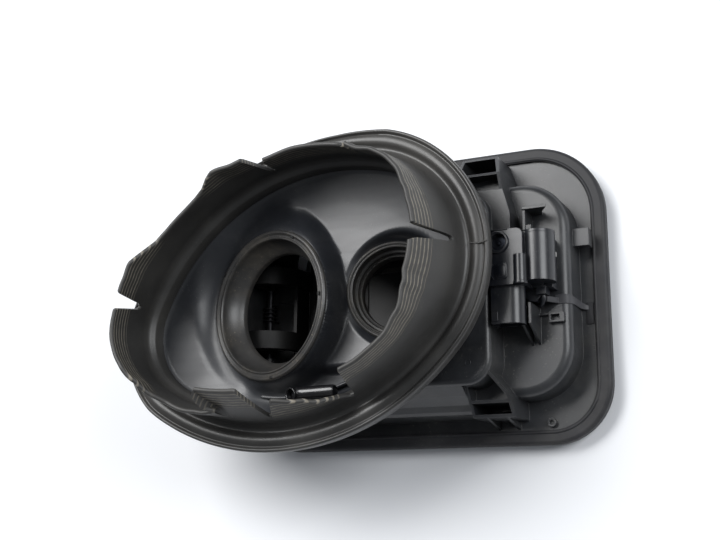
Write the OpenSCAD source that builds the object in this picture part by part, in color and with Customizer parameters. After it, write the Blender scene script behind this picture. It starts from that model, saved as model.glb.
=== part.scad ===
// Fuel filler flap housing, seen from behind: flange with soft edge, pot, neck bowl,
// rubber skirt, gooseneck flap and electric lock. Millimetres, the closed flap's face at z = 0.

/* [Flange and soft edge] */
// Length of the soft edge along X
edge_w = 225; // [218:1:240]
// Height of the soft edge along Y
edge_h = 172; // [166:1:184]
// Radius of the soft edge's upper corners
edge_r = 42; // [38:1:46]
// Radius of the soft edge's lower corners
edge_rl = 34; // [31:1:38]
// Width of the soft edge that shows from behind
edge_lip = 8; // [6:0.5:10]
// Depth of the groove that grips the flange
edge_grip = 4; // [3:0.5:5]
// Thickness of the hard flange
flange_t = 2.5; // [2:0.1:3]
// Height of the flange's front over the flap's outer face
flange_z = 8; // [7.5:0.25:9]

/* [Tray around the flap] */
// Outer length of the tray along X
tray_w = 184; // [180:1:188]
// Outer height of the tray along Y
tray_h = 120; // [116:1:122]
// Corner radius of the tray
tray_r = 27; // [20:1:32]
// Centre of the tray along X
tray_x = 5; // [4:0.5:6]
// Centre of the tray along Y
tray_y = -2; // [-3:0.5:-1]
// Rounding of the tray's upper edge
tray_e = 5; // [4:0.5:6]
// Height of the tray's roof over the flap's outer face
tray_top = 34; // [32:0.5:36]
// Wall thickness of the housing
wall = 2.2; // [1.8:0.1:2.6]

/* [Pot] */
// Right-hand end of the pot
pot_right = 59; // [58:0.5:60]
// Lower side of the pot
pot_low = -57; // [-58:0.5:-55]
// Upper side of the pot
pot_high = 50; // [48:0.5:53]
// Corner radius of the pot
pot_r = 14; // [12:1:18]
// Height of the pot's roof
pot_top = 57; // [56:0.5:58]

/* [Neck bowl] */
// Centre of the bowl along X
bowl_x = -48.5; // [-50:0.5:-46]
// Centre of the bowl along Y
bowl_y = -2.5; // [-4:0.5:-1]
// Turn of the bowl's long axis
bowl_turn = 18; // [15:1:20]
// Half length of the oval rim
oval_l = 117.5; // [114:0.5:120]
// Radius of the left end of the oval
oval_rl = 58; // [56:2:60]
// Radius of the right end of the oval
oval_rr = 77; // [74:1:80]
// Radius of the long sides of the oval
oval_rs = 142; // [140:2:144]
// Height of the rim's upper face
rim_z = 76.7; // [76:0.1:78]
// Thickness of the rim
rim_t = 3; // [2.5:0.1:3.5]
// Height of the bowl's flat floor
floor_z = 63.5; // [62.5:0.5:65]
// Thickness of the bowl's floor
floor_t = 2.2; // [1.8:0.1:2.6]

/* [Filler necks] */
// Bore of the fuel neck seal
fuel_d = 64; // [60:1:66]
// Tilt of the fuel neck
fuel_tilt = 15; // [12:1:16]
// Bore of the additive neck seal
add_d = 41; // [38:1:43]
// Tilt of the additive neck
add_tilt = 12; // [9:1:14]

/* [Skirt] */
// Height of the skirt's free edge
skirt_top = 121; // [116:1:128]
// Thickness of the skirt's wall
skirt_t = 2.5; // [2:0.1:3]
// How far the free edge leans inwards from the rim
skirt_lean = 20.5; // [19:0.5:22]

/* [Flap and hinge] */
// Length of the flap along X
flap_w = 174.5; // [172:0.5:176]
// Height of the flap along Y
flap_h = 110; // [104:1:112]
// Corner radius of the flap
flap_r = 24; // [16:1:30]
// Thickness of the flap's outer skin
skin_t = 2; // [1.6:0.1:2.4]
// Height of the hinge axis over the flap's outer face
hinge_z = 15; // [14.5:0.25:16]
// Diameter of the hinge pin
pin_d = 4; // [3:0.25:4.5]
// Inner radius of the gooseneck arms
neck_r = 19.5; // [19:0.25:20]
// Thickness of the gooseneck arms
neck_t = 5; // [4:0.25:5.5]

/* [Lock] */
// Diameter of the lock pin
lock_d = 7; // [6:0.25:8]
// Height of the lock pin's axis
lock_z = 41.5; // [41:0.25:42.5]
// Travel of the lock pin
lock_travel = 8; // [7:0.5:8.5]
// Module of the rack and the pinion
rack_m = 1; // [0.9:0.05:1.1]
// Teeth of the pinion that drives the rack
pinion_n = 8; // [8:1:10]
// Teeth of the large wheel
wheel_n = 22; // [20:1:22]
// Teeth of the motor pinion
motor_n = 8; // [8:1:9]
// Module of the wheel and the motor pinion
wheel_m = 0.8; // [0.75:0.05:0.85]

/* [Hidden] */
$fn = 64;
eps = 0.02;
fit = 0.3;
run = 0.05;
flange_top = flange_z + flange_t;
pot_left = -edge_w/2 + edge_grip + 1;
tray_left = tray_x - tray_w/2;
tray_right = tray_x + tray_w/2;
tray_low = tray_y - tray_h/2;
tray_high = tray_y + tray_h/2;
tray_in_right = tray_right - wall;
pot_in_right = pot_right - wall - 0.3;

// oval of four tangent arcs
oxl = -oval_l + oval_rl;
oxr = oval_l - oval_rr;
oa = oval_rs - oval_rl;
ob = oval_rs - oval_rr;
oxs = oxl + (oa*oa - ob*ob + (oxr - oxl)*(oxr - oxl)) / (2*(oxr - oxl));
oys = sqrt(oa*oa - (oxs - oxl)*(oxs - oxl));
ang_r = atan2(oys, oxr - oxs);
ang_l = atan2(oys, oxl - oxs);

// places of the two necks
fuel_c = [-67.5, -7.5, 71];
add_c = [5, -2.5, 57];
fuel_ring = 43.7;
add_ring = 28.2;
fuel_hole = fuel_ring - 3.9;
add_hole = add_ring - 2.2;

// skirt profile
skirt_s0 = skirt_lean - 3.6;
foot_z = rim_z + 2.5;

// flap and hinge
flap_c = [tray_x + 0.25, tray_y];
flap_left = flap_c[0] - flap_w/2;
panel_t = 2.5;
hinge_x = flap_left - hinge_z - 3;
knuckle_r = 4;
arm_y = 20;
arm_w = 11;
web_z = skin_t + panel_t;
boss_y = 30;

// lock gear train in the X-Z plane, all axes along Y
act_x = pot_right + 0.5;
act_floor = tray_top + 2;
lock_y = -1;
rack_pitch_z = lock_z + lock_d/2 + 0.2;
pin_r0 = pinion_n*rack_m/2;
wheel_x = act_x + lock_travel + 4.7;
wheel_z = rack_pitch_z + pin_r0;
wheel_r = wheel_n*wheel_m/2;
motor_r = motor_n*wheel_m/2;
motor_x = wheel_x + wheel_r + motor_r + 0.1;
case_top = 62;
case_y0 = -6;
case_y1 = 24.5;
case_r = 3.5;
case_w = 20;
bar_w = 6;
barrel_r = 9.2;
motor_can_r = 7.5;
motor_y0 = 7.4;
motor_y1 = 22.6;
screw_xy = [act_x + 6.6, 17.4];
latch_x = pot_in_right - 7.5;
latch_t = 3;

module rrect(w, h, r) {
    square([w - 2*r, h], center = true);
    square([w, h - 2*r], center = true);
    for (x = [-1, 1], y = [-1, 1]) translate([x*(w/2 - r), y*(h/2 - r)]) circle(r);
}

// block with rounded corners and a rounded top edge, standing on z = 0
module pillow(w, d, h, r, e) {
    module half(x) {
        square([x - e, h]);
        square([x, h - e]);
        translate([x - e, h - e]) circle(e);
    }
    module across(x) {
        translate([-x + e, 0]) square([2*x - 2*e, h]);
        translate([-x, 0]) square([2*x, h - e]);
        for (s = [-1, 1]) translate([s*(x - e), h - e]) circle(e);
    }
    for (x = [-1, 1], y = [-1, 1]) translate([x*(w/2 - r), y*(d/2 - r), 0])
        rotate_extrude() intersection() { half(r); square([r, h]); }
    rotate([90, 0, 0]) translate([0, 0, -d/2 + r]) linear_extrude(d - 2*r) across(w/2);
    rotate([90, 0, 90]) translate([0, 0, -w/2 + r]) linear_extrude(w - 2*r) across(d/2);
}

// sweeps a profile, drawn at x = 0 and going inwards to -x, around a rectangle with
// corner radius ru above and rl below
module frame_sweep(w, h, ru, rl) {
    rr = [ru, ru, rl, rl];
    for (i = [0:3]) rotate(90*i) {
        a = i % 2 == 0 ? w : h;
        b = i % 2 == 0 ? h : w;
        r = rr[i];
        translate([a/2 - r, b/2 - r, 0]) rotate_extrude(angle = 90) translate([r, 0]) children();
        translate([a/2, b/2 - r, 0]) rotate([90, 0, 0])
            linear_extrude(b - r - rr[(i + 3) % 4]) children();
    }
}

// rectangle with corner radius ru above and rl below
module plate_outline(w, h, ru, rl) {
    for (x = [-1, 1]) {
        translate([x*(w/2 - ru), h/2 - ru]) circle(ru);
        translate([x*(w/2 - rl), -h/2 + rl]) circle(rl);
        translate([x > 0 ? 0 : -w/2, -h/2 + rl]) square([w/2, h - ru - rl]);
    }
    translate([-w/2 + ru, 0]) square([w - 2*ru, h/2]);
    translate([-w/2 + rl, -h/2]) square([w - 2*rl, h/2]);
}

module flange_outline() plate_outline(edge_w - 2*edge_grip, edge_h - 2*edge_grip,
    edge_r - edge_grip, edge_rl - edge_grip);

module bowl_frame() translate([bowl_x, bowl_y, 0]) rotate(bowl_turn) children();

// filled oval, s inside the rim's outer edge
module oval(s) {
    translate([oxl, 0]) circle(oval_rl - s);
    translate([oxr, 0]) circle(oval_rr - s);
    intersection() {
        translate([oxs, -oys]) circle(oval_rs - s);
        translate([oxs, oys]) circle(oval_rs - s);
        x0 = oxs + (oval_rs - s)*cos(ang_l);
        x1 = oxs + (oval_rs - s)*cos(ang_r);
        translate([x0 + 1.5, -oval_rs]) square([x1 - x0 - 3, 2*oval_rs]);
    }
}

// sweeps a profile around the oval, drawn at x = 0 and going inwards to -x
module oval_sweep() {
    translate([oxr, 0, 0]) rotate(-ang_r) rotate_extrude(angle = 2*ang_r)
        translate([oval_rr, 0]) children();
    translate([oxl, 0, 0]) rotate(ang_l) rotate_extrude(angle = 360 - 2*ang_l)
        translate([oval_rl, 0]) children();
    translate([oxs, -oys, 0]) rotate(ang_r) rotate_extrude(angle = ang_l - ang_r)
        translate([oval_rs, 0]) children();
    translate([oxs, oys, 0]) rotate(-ang_l) rotate_extrude(angle = ang_l - ang_r)
        translate([oval_rs, 0]) children();
}

module fuel_frame() translate(fuel_c) rotate([0, -fuel_tilt, 0]) children();
module add_frame() translate(add_c) rotate([0, add_tilt, 0]) children();

module tube(r1, r0, h) difference() {
    cylinder(r = r1, h = h);
    translate([0, 0, -1]) cylinder(r = r0, h = h + 2);
}

// block drawn from its lower corner to its upper corner
module box(a, b) translate(a) cube(b - a);

// spur gear along +Y from y = 0, with thinned teeth for backlash
module spur(n, m, w, bore, phase = 0) {
    r = n*m/2;
    rotate([-90, 0, 0]) linear_extrude(w) difference() {
        union() {
            circle(r - 1.0*m);
            for (i = [0:n - 1]) rotate(360/n*i + phase)
                polygon([[r - 1.3*m, -0.86*m], [r, -0.58*m], [r + 0.72*m, -0.24*m],
                    [r + 0.72*m, 0.24*m], [r, 0.58*m], [r - 1.3*m, 0.86*m]]);
        }
        circle(bore/2);
    }
}

module pot_outline(inset) {
    x0 = pot_left + inset;
    x1 = pot_right - inset - (inset > 0 ? 0.3 : 0);
    y0 = pot_low + inset;
    y1 = pot_high - inset;
    translate([(x0 + x1)/2, (y0 + y1)/2]) rrect(x1 - x0, y1 - y0, pot_r - inset);
}

module pot_block(inset, h, e) {
    x0 = pot_left + inset;
    x1 = pot_right - inset - (inset > 0 ? 0.3 : 0);
    y0 = pot_low + inset;
    y1 = pot_high - inset;
    translate([(x0 + x1)/2, (y0 + y1)/2, 0]) pillow(x1 - x0, y1 - y0, h, pot_r - inset, e);
}

module hinge_ear(y) translate([hinge_x, y + 1.5, hinge_z]) rotate([90, 0, 0]) difference() {
    union() {
        linear_extrude(3) {
            circle(5);
            translate([-5, -(hinge_z - flange_top) - eps]) square([10, hinge_z - flange_top]);
        }
    }
    translate([0, 0, -1]) cylinder(d = pin_d, h = 5);
}

module filler_pot() color("#2b2d30") difference() {
    union() {
        difference() {
            union() {
                translate([0, 0, flange_z]) linear_extrude(flange_t) flange_outline();
                translate([tray_x, tray_y, flange_z])
                    pillow(tray_w, tray_h, tray_top - flange_z, tray_r, tray_e);
                translate([0, 0, flange_z]) pot_block(0, pot_top - flange_z, 3);
                // shelf that carries the bowl
                translate([0, 0, pot_top - 2.5]) linear_extrude(2.5)
                    bowl_frame() oval(30.5);
                apron(0);
                upper_shoulder();
                lower_cage();
            }
            translate([tray_x, tray_y, flange_z - 1])
                pillow(tray_w - 2*wall, tray_h - 2*wall, tray_top - wall - flange_z + 1,
                    tray_r - wall, 2);
            translate([0, 0, flange_top]) pot_block(wall, pot_top - 2.5 - flange_top, 2);
            apron(1);
            translate([0, 0, flange_top]) linear_extrude(shoulder_z - 1.8 - flange_top)
                polygon([[48, 27.3], [67.4, 27.3], [67.4, 37.4], [64.3, 49], [48, 49]]);
            translate([0, 0, pot_top - 6]) linear_extrude(10) intersection() {
                bowl_frame() oval(34.5);
                pot_outline(wall + 0.5);
            }
            translate([0, 0, pot_top - 6]) linear_extrude(10)
                translate([add_c[0] + 1, add_c[1]]) circle(add_ring + 3.4);
            fuel_frame() translate([0, 0, -14]) cylinder(r = fuel_hole + 2.2, h = 20);
        }
        for (s = [-1, 1]) hinge_ear(s*boss_y);
        side_hook();
        pot_ribs();
        guide_bracket();
        lock_hook();
    }
    // hole for the lock pin and its seal
    translate([pot_in_right - 2, lock_y, lock_z]) rotate([0, 90, 0]) cylinder(d = lock_d + 3, h = 6);
    // screw hole under the lock
    translate([screw_xy[0], screw_xy[1], tray_top - 6]) cylinder(d = 3, h = 10);
}

// sloping apron below the pot, k = 1 for the space inside it
module apron(k) translate([-75 + 1.8*k, 0, 0]) rotate([90, 0, 90]) linear_extrude(116.5 - 3.6*k)
    if (k == 0) polygon([[-50, flange_top - 0.5], [-71.2, flange_top - 0.5], [-70, 31.5], [-68.6, 34],
        [-65.5, 37.5], [-61.5, 47], [-56.5, 55], [-50, 55]]);
    else polygon([[-54.5, flange_top], [-69.3, flange_top], [-68.2, 31], [-67.2, 33],
        [-64, 36.5], [-60, 46], [-54.5, 53]]);

// raised corner beside the pot, which ends above in the cage for a body clip
shoulder_z = 50;
module upper_shoulder() difference() {
    intersection() {
        translate([0, 0, flange_top - 0.5]) linear_extrude(60) polygon([[36.4, 40], [36.4, 76.6],
            [57.6, 76.6], [61.8, 65], [66, 49.6], [69.3, 37.6], [69.3, 25.5], [44, 25.5]]);
        translate([30, 0, 0]) rotate([90, 0, 90]) linear_extrude(45) polygon([[20, 9], [80, 9],
            [80, 29], [76.6, 32.5], [63, 45], [51, shoulder_z], [20, shoulder_z]]);
    }
    translate([0, 0, flange_top]) linear_extrude(50) polygon([[38.2, 63.2], [38.2, 74.9],
        [56.4, 74.9], [60, 65], [60.5, 63.2]]);
    translate([0, 0, tray_top + 1.5]) linear_extrude(50) polygon([[38.2, 51.4], [38.2, 61.6],
        [61, 61.6], [63.7, 51.4]]);
}

// cage for the body clip at the lower side, with two feet
module lower_cage() {
    difference() {
        intersection() {
            translate([0, 0, flange_top - 0.5]) linear_extrude(60) polygon([[41.4, -50],
                [41.4, -72.6], [65.4, -72.6], [65, -61], [56.4, -48.6], [50, -48.6]]);
            translate([30, 0, 0]) rotate([90, 0, 90]) linear_extrude(45) polygon([[-40, 9],
                [-80, 9], [-80, 30.5], [-72.6, 36], [-61, 46], [-49, pot_top - 1], [-40, pot_top - 1]]);
        }
        translate([0, 0, flange_top]) linear_extrude(50) polygon([[43, -65.4], [43, -71],
            [63.8, -71], [63.6, -65.4]]);
        translate([0, 0, tray_top + 1.5]) linear_extrude(50) difference() {
            polygon([[43, -54], [43, -63.8], [63.5, -63.8], [63.3, -61.8], [54.6, -49]]);
            pot_outline(0);
        }
        // slot for the clip's foot
        translate([53.8, -74, flange_top]) cube([4.4, 4, 2]);
    }
    for (x = [47.6, 59]) translate([x, -72.6 + eps, flange_top - eps]) rotate([90, 0, 90])
        linear_extrude(1.6) polygon([[0, 0], [-4.6, 0], [0, 22]]);
}

// hook that guides the wiring, on the right-hand side of the tray
module side_hook() {
    box([tray_right - 1, 21, 22.6], [tray_right + 9, 31, 24.4]);
    box([tray_right + 7.4, 21, 17], [tray_right + 9, 31, 24.4]);
    box([tray_right - 1, 25.2, flange_top - eps], [tray_right + 6.9, 26.8, 23]);
}

// ribs in the angle between tray and flange, and the pip beside the lower clip
module pot_ribs() {
    for (x = [-40, 8]) translate([x, tray_high - 0.5, flange_top]) rotate([90, 0, 90])
        linear_extrude(1.6) polygon([[0, -eps], [5, -eps], [0, 10]]);
    translate([78.5, -74, flange_top - eps]) difference() {
        cylinder(d = 5, h = 2.4);
        translate([0, 0, 1]) cylinder(d = 2.4, h = 3);
    }
}

// two guard walls beside the plug, and the flat guide with a square window
module guide_bracket() {
    translate([75, 0, 0]) rotate([90, 0, 90]) linear_extrude(1.3)
        polygon([[-15, tray_top - eps], [-15, 45.6], [-26.2, 45.6], [-26.2, 52], [-34.6, tray_top - eps]]);
    translate([78.8, 0, 0]) rotate([90, 0, 90]) linear_extrude(1.5)
        polygon([[-14.4, tray_top - eps], [-14.4, 52], [-25.4, 52], [-34.4, tray_top - eps]]);
    box([80, -18.8, tray_top - eps], [86, -17.6, tray_top + 2.4]);
    difference() {
        box([85.6, -23, tray_top - eps], [94, -17.6, tray_top + 3.2]);
        box([86.8, -21.8, tray_top - 1], [91.4, -18.8, tray_top + 5]);
    }
}

// bracket that hooks over the lug of the lock
module lock_hook() {
    translate([0, 40, 0]) rotate([90, 0, 0]) linear_extrude(1.6)
        polygon([[75.4, tray_top - eps], [83, tray_top - eps], [84.6, 40], [89, 48], [75.4, 48]]);
    box([75.4, 27, tray_top - eps], [77, 39, 47]);
    box([75.4, 25.2, 44.6], [80, 30, 46.2]);
}

module edge_seal() color("#1d1e20")
    difference() {
        frame_sweep(edge_w, edge_h, edge_r, edge_rl) {
            translate([-edge_lip, flange_z - 1.8]) square([edge_lip - 2, flange_t + 3.6]);
            translate([-2.05, flange_z - 1]) square([2.05, flange_t + 1.2]);
            translate([-2.2, flange_top - 0.4]) circle(2.2);
            translate([-2.2, flange_z - 2]) circle(2.2);
            translate([-edge_lip + 1.2, flange_top + 1.6]) circle(0.9);
        }
        translate([0, 0, flange_z]) linear_extrude(flange_t) flange_outline();
        // the soft edge stops at the pot's wall
        translate([0, 0, flange_top - eps]) linear_extrude(6) pot_outline(0);
    }

module oval_ring(s0, s1, z0, z1) translate([0, 0, z0]) linear_extrude(z1 - z0) difference() {
    oval(s0);
    oval(s1);
}

module bowl_shell() bowl_frame() difference() {
    union() {
        translate([0, 0, floor_z - floor_t]) linear_extrude(ledge_z + floor_t - floor_z)
            oval(ledge_s - 3);
        oval_ring(ledge_s - 3, ledge_s, ledge_z - 1, rim_z);
        oval_ring(2.5, ledge_s - 1, rim_z - rim_t, rim_z);
        // wall that stands on the pot's shelf
        oval_ring(31, 33.4, pot_top, floor_z - floor_t + 1);
    }
    // the floor climbs to the ledge in steps
    for (i = [0:3]) translate([0, 0, floor_z + i*(ledge_z - floor_z)/4])
        linear_extrude(ledge_z - floor_z) oval(ledge_s + 8.4 - 2.4*i);
    // relief under the thick edge
    oval_ring(ledge_s, ledge_s + 4, floor_z - floor_t - 1, ledge_z - 4.2);
}
ledge_s = skirt_lean + 0.4;
ledge_z = rim_z - 7;

module neck_bowl() color("#33363b") difference() {
    union() {
        bowl_shell();
        // raised collar of the fuel neck and the wall of its low side
        intersection() {
            fuel_frame() translate([0, 0, -25]) cylinder(r = fuel_ring + 2.3, h = 25);
            translate([-120, -60, floor_z - floor_t + 0.4]) cube([120, 110, 40]);
        }
        intersection() {
            fuel_frame() translate([0, 0, -2.2]) cylinder(r = fuel_ring + 2.3, h = 12);
            translate([-130, -60, pot_top + 0.2]) cube([130, 110, floor_z - pot_top - 0.5]);
        }
        // pocket of the additive neck
        intersection() {
            add_frame() translate([0, 0, -2.2]) cylinder(r = add_ring + 2.3, h = 22);
            translate([-40, -50, 40]) cube([90, 100, floor_z - 40.5]);
        }
    }
    fuel_frame() {
        cylinder(r = fuel_ring + 0.3, h = 40);
        translate([0, 0, -2.2 - 40]) cylinder(r = fuel_ring + 0.3, h = 40);
        translate([0, 0, -10]) cylinder(r = fuel_hole, h = 20);
    }
    add_frame() {
        cylinder(r = add_ring + 0.3, h = 40);
        translate([0, 0, -10]) cylinder(r = add_hole, h = 20);
    }
    // seat of the drain spout
    translate(drain_at) {
        translate([drain_l - 5, 0, -20]) cylinder(d = 5, h = 20);
        translate([drain_l - 9, 0, 0]) rotate([0, 90, 0]) cylinder(d = drain_d + 0.2, h = 14.4);
    }
}

module gaiter_skirt() color("#242527") difference() {
    bowl_frame() oval_sweep() {
        // foot that grips the rim
        polygon([[-0.4, rim_z - rim_t - 1.6], [-0.4, foot_z - 0.6], [-1.2, foot_z],
            [-12, foot_z], [-14.2, foot_z + 1.6], [-15.6, foot_z + 4.6], [-skirt_s0, foot_z + 12],
            [-skirt_lean, skirt_top - 1], [-skirt_lean - 0.6, skirt_top],
            [-skirt_lean - skirt_t + 0.6, skirt_top], [-skirt_lean - skirt_t, skirt_top - 1],
            [-skirt_s0 - skirt_t, foot_z + 12], [-ledge_s - 1.2, foot_z],
            [-ledge_s - 1.2, ledge_z + 0.4], [-ledge_s, ledge_z + 0.4], [-ledge_s, rim_z],
            [-2.5, rim_z], [-2.5, rim_z - rim_t],
            [-6, rim_z - rim_t], [-6, rim_z - rim_t - 1.6]]);
        translate([-1.9, foot_z - 0.2]) circle(1.9);
        translate([-7.6, foot_z + 0.3]) circle(1.6);
        // fine grooves near the free edge
        for (i = [0:3]) translate([-skirt_lean + 0.12 + 0.09*3.2*i, skirt_top - 4 - 3.2*i])
            rotate(5) square([0.9, 1.2], center = true);
    }
    bowl_frame() for (g = skirt_gaps) rotate(g[0]) translate([30, 0, 0]) rotate([90, 0, 90])
        linear_extrude(120) gap_outline(g[1], g[2], g[3]);
}

// gaps between the skirt's tabs: angle, width at the foot, width at the free edge, depth
skirt_gaps = [[-8, 3, 9, 30], [37, 3, 8, 13], [74, 3, 6, 19], [114, 26, 32, 12],
    [165, 4, 12, 21], [-153, 18, 28, 14], [-108, 4, 19, 20], [-69, 3, 10, 15], [57, 34, 38, 11.5],
    [-93, 28, 34, 15]];

module gap_outline(w0, w1, d) {
    r = min(w0/2, 4);
    for (s = [-1, 1]) translate([s*(w0/2 - r), skirt_top - d + r]) circle(r);
    if (w0 > 2*r) translate([-w0/2 + r, skirt_top - d]) square([w0 - 2*r, r + 1]);
    polygon([[-w0/2, skirt_top - d + r], [-w1/2, skirt_top + 2], [w1/2, skirt_top + 2],
        [w0/2, skirt_top - d + r]]);
}

module fuel_neck_seal() color("#1b1c1e") fuel_frame() rotate_extrude() {
    r = fuel_d/2;
    h = fuel_hole;
    polygon([[h - 1.8, 1], [h - 1.8, -1.6], [r + 0.4, -9.4], [r, -10], [r, -13], [r + 1.8, -13],
        [r + 1.8, -9.4], [h - 0.4, -3.8], [h + 1.2, -3.8], [h + 1.2, -2.2], [h, -2.2], [h, 0],
        [fuel_ring - 0.4, 0], [fuel_ring, 0.4], [fuel_ring, 1.4], [fuel_ring - 1, 1.8], [h, 1.8]]);
    translate([fuel_ring - 1.5, 1.4]) circle(1.2);
    translate([h - 0.8, 1.4]) circle(1.2);
}

module additive_neck_seal() color("#1e1f21") add_frame() rotate_extrude() {
    r = add_d/2;
    h = add_hole;
    polygon([[h - 1.4, 1], [h - 1.4, -2.6], [r + 2, -2.6], [r + 2, -6], [r, -6], [r, -12],
        [r + 1.6, -12], [r + 1.6, -7.6], [r + 3.6, -7.6], [r + 3.6, -4.2], [h + 1.2, -4.2],
        [h + 1.2, -2.2], [h, -2.2], [h, 0], [add_ring, 0], [add_ring, 1.4], [h, 1.4]]);
    translate([add_ring - 1, 1.4]) circle(0.9);
    translate([h - 0.7, 1.3]) circle(0.9);
    translate([r + 1, -6]) circle(0.9);
}

drain_at = [-50, -58.5, 71.5];
drain_l = 26;
drain_d = 9.5;
module drain_spout() color("#17181a") translate(drain_at) difference() {
    union() {
        rotate([0, 90, 0]) cylinder(d = drain_d, h = drain_l);
        translate([16, 0, 0]) rotate([0, 90, 0]) cylinder(d = drain_d + 1.6, h = 2);
        translate([drain_l - 5, 0, -8.6]) cylinder(d = 4.9, h = 6);
        translate([drain_l, 0, 0]) sphere(d = drain_d);
    }
    translate([-1, 0, 0]) rotate([0, 90, 0]) cylinder(d = drain_d - 2.6, h = drain_l);
}

module flap_skin() color("#3b3e42") translate([flap_c[0], flap_c[1], skin_t]) mirror([0, 0, 1])
    pillow(flap_w, flap_h, skin_t, flap_r, 1.2);

module flap_inner_panel() color("#2f3135") {
    difference() {
        union() {
            translate([flap_c[0], flap_c[1], skin_t])
                pillow(flap_w - 7, flap_h - 7, panel_t, flap_r - 3.5, 1);
            // raised field behind the necks
            translate([-12, 2, web_z - eps]) pillow(46, 38, 6, 6, 2);
            translate([48, 6, web_z - eps]) pillow(30, 46, 3.5, 6, 1.5);
            // cap holder
            translate([-52, -8, web_z - eps]) linear_extrude(10) difference() {
                circle(16);
                circle(13.6);
                translate([-20, -5]) square([10, 10]);
            }
            // stiffening ribs
            for (y = [-40, 38]) box([-62, y - 1, web_z - eps], [70, y + 1, web_z + 3]);
            // hinge arms
            for (s = [-1, 1]) gooseneck(s*arm_y);
            box([hinge_x + neck_r, -arm_y - arm_w/2, web_z - eps],
                [hinge_x + neck_r + 2.4, arm_y + arm_w/2, hinge_z + 5]);
            // latch tongue with its eye
            box([latch_x, lock_y - 7, web_z - eps], [latch_x + latch_t, lock_y + 7, lock_z]);
            translate([latch_x, lock_y, lock_z]) rotate([0, 90, 0]) cylinder(r = 7, h = latch_t);
            for (s = [-1, 1]) translate([latch_x + 0.5, lock_y + s*6 + 1, web_z - eps])
                rotate([90, 0, 0]) linear_extrude(2) polygon([[0, 0], [0, 24], [-12, 0]]);
        }
        translate([latch_x - 1, lock_y, lock_z]) rotate([0, 90, 0])
            cylinder(d = lock_d + 1.2, h = latch_t + 2);
        for (x = [flap_c[0] - flap_w/2 + 14, flap_c[0] + flap_w/2 - 14])
            translate([x, buffer_y, skin_t + 1]) cylinder(d = 5, h = 5);
    }
}
buffer_y = -42;

module gooseneck(y) translate([hinge_x, y, hinge_z]) rotate([90, 0, 0]) difference() {
    translate([0, 0, -arm_w/2]) linear_extrude(arm_w) {
        circle(knuckle_r);
        translate([-2.5, 0]) square([5, neck_r + neck_t/2]);
        difference() {
            intersection() {
                circle(neck_r + neck_t);
                translate([-2.5, 0]) square([neck_r + neck_t + 3, neck_r + neck_t]);
            }
            circle(neck_r);
            translate([-20, -1]) square([17.5, 60]);
        }
        translate([neck_r, -(hinge_z - web_z) - eps]) square([neck_t, hinge_z - web_z + 0.1]);
    }
    translate([0, 0, -arm_w/2 - 1]) cylinder(d = pin_d + 2*run, h = arm_w + 2);
}

module hinge_pin() color("#3c3f43") translate([hinge_x, boss_y + 3.5, hinge_z])
    rotate([90, 0, 0]) {
        cylinder(d = pin_d, h = 2*boss_y + 7);
        translate([0, 0, 0]) cylinder(d = pin_d + 2, h = 2);
    }

// torsion spring around the pin, between the two arms
spring_r = 3.8;
spring_w = 1.2;
spring_turns = 4;
function spring_pt(i, n) = let (a = 360*spring_turns*i/n)
    [spring_r*cos(a), -5 + 10*i/n, spring_r*sin(a)];
module hinge_spring() color("#4a4d51") translate([hinge_x, 0, hinge_z]) {
    n = 20*spring_turns;
    pts = [for (i = [0:n]) let (p = spring_pt(i, n), a = 360*spring_turns*i/n)
        for (k = [0:7]) p + spring_w/2*(cos(45*k)*[cos(a), 0, sin(a)] + sin(45*k)*[0, 1, 0])];
    faces = concat([[for (k = [0:7]) k]], [[for (k = [7:-1:0]) n*8 + k]],
        [for (i = [0:n - 1], k = [0:7]) let (q = (k + 1) % 8)
            [i*8 + k, (i + 1)*8 + k, (i + 1)*8 + q, i*8 + q]]);
    polyhedron(points = pts, faces = faces, convexity = 6);
    translate([spring_r, -5, flange_top - hinge_z]) cylinder(d = spring_w, h = hinge_z - flange_top);
    // upper leg, which bears on the wall between the arms
    translate([spring_r, 5, 0]) cylinder(d = spring_w, h = 3.6);
    translate([spring_r, 5, 3.6]) sphere(d = spring_w);
    translate([spring_r, 5, 3.6]) rotate([0, 90, 0]) cylinder(d = spring_w, h = neck_r - spring_r);
}

module buffer(x) translate([x, buffer_y, skin_t + 1]) {
    cylinder(d = 5, h = 2);
    translate([0, 0, panel_t - 1]) cylinder(d = 8, h = 3.2);
    translate([0, 0, panel_t + 2]) cylinder(d1 = 8, d2 = 5, h = 1.6);
}
module left_buffer() color("#151617") buffer(flap_c[0] - flap_w/2 + 14);
module right_buffer() color("#151617") buffer(flap_c[0] + flap_w/2 - 14);

// sprung clip with a leaning tongue, which snaps behind the body panel
module spring_clip(w, d, h, lean) {
    cube([w, d, 1.4]);
    cube([w, 1.2, h*0.45]);
    translate([0.8, d - 1.6, 0.4]) rotate([lean, 0, 0]) {
        cube([w - 1.6, 1.2, h]);
        translate([w/2 - 2.3, -0.7, h*0.7]) cube([3, 1.4, h*0.2]);
    }
}
module upper_body_clip() color("#101113") translate([48.6, 64.4, flange_top])
    spring_clip(7.4, 9.8, 18, 16);
module lower_body_clip() color("#101113") translate([62.6, -65.9, flange_top]) rotate(180) {
    spring_clip(8.6, 4.9, 16, 5);
    translate([4.6, 4.5, 0]) cube([4, 5, 1.6]);
}

module case_outline(inset) {
    x0 = act_x + inset;
    x1 = act_x + case_w - inset;
    y0 = case_y0 + inset;
    y1 = case_y1 - inset;
    translate([x0, y0]) square([x1 - x0 - case_r, y1 - y0]);
    translate([x0, y0]) square([x1 - x0, y1 - y0 - case_r]);
    translate([x1 - case_r, y1 - case_r]) circle(case_r);
}

module socket_outline(t) {
    translate([-7 + t, -6.6 + t]) square([10.4 - t, 13.2 - 2*t]);
    translate([3.4, 0]) circle(6.6 - t);
}

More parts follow.
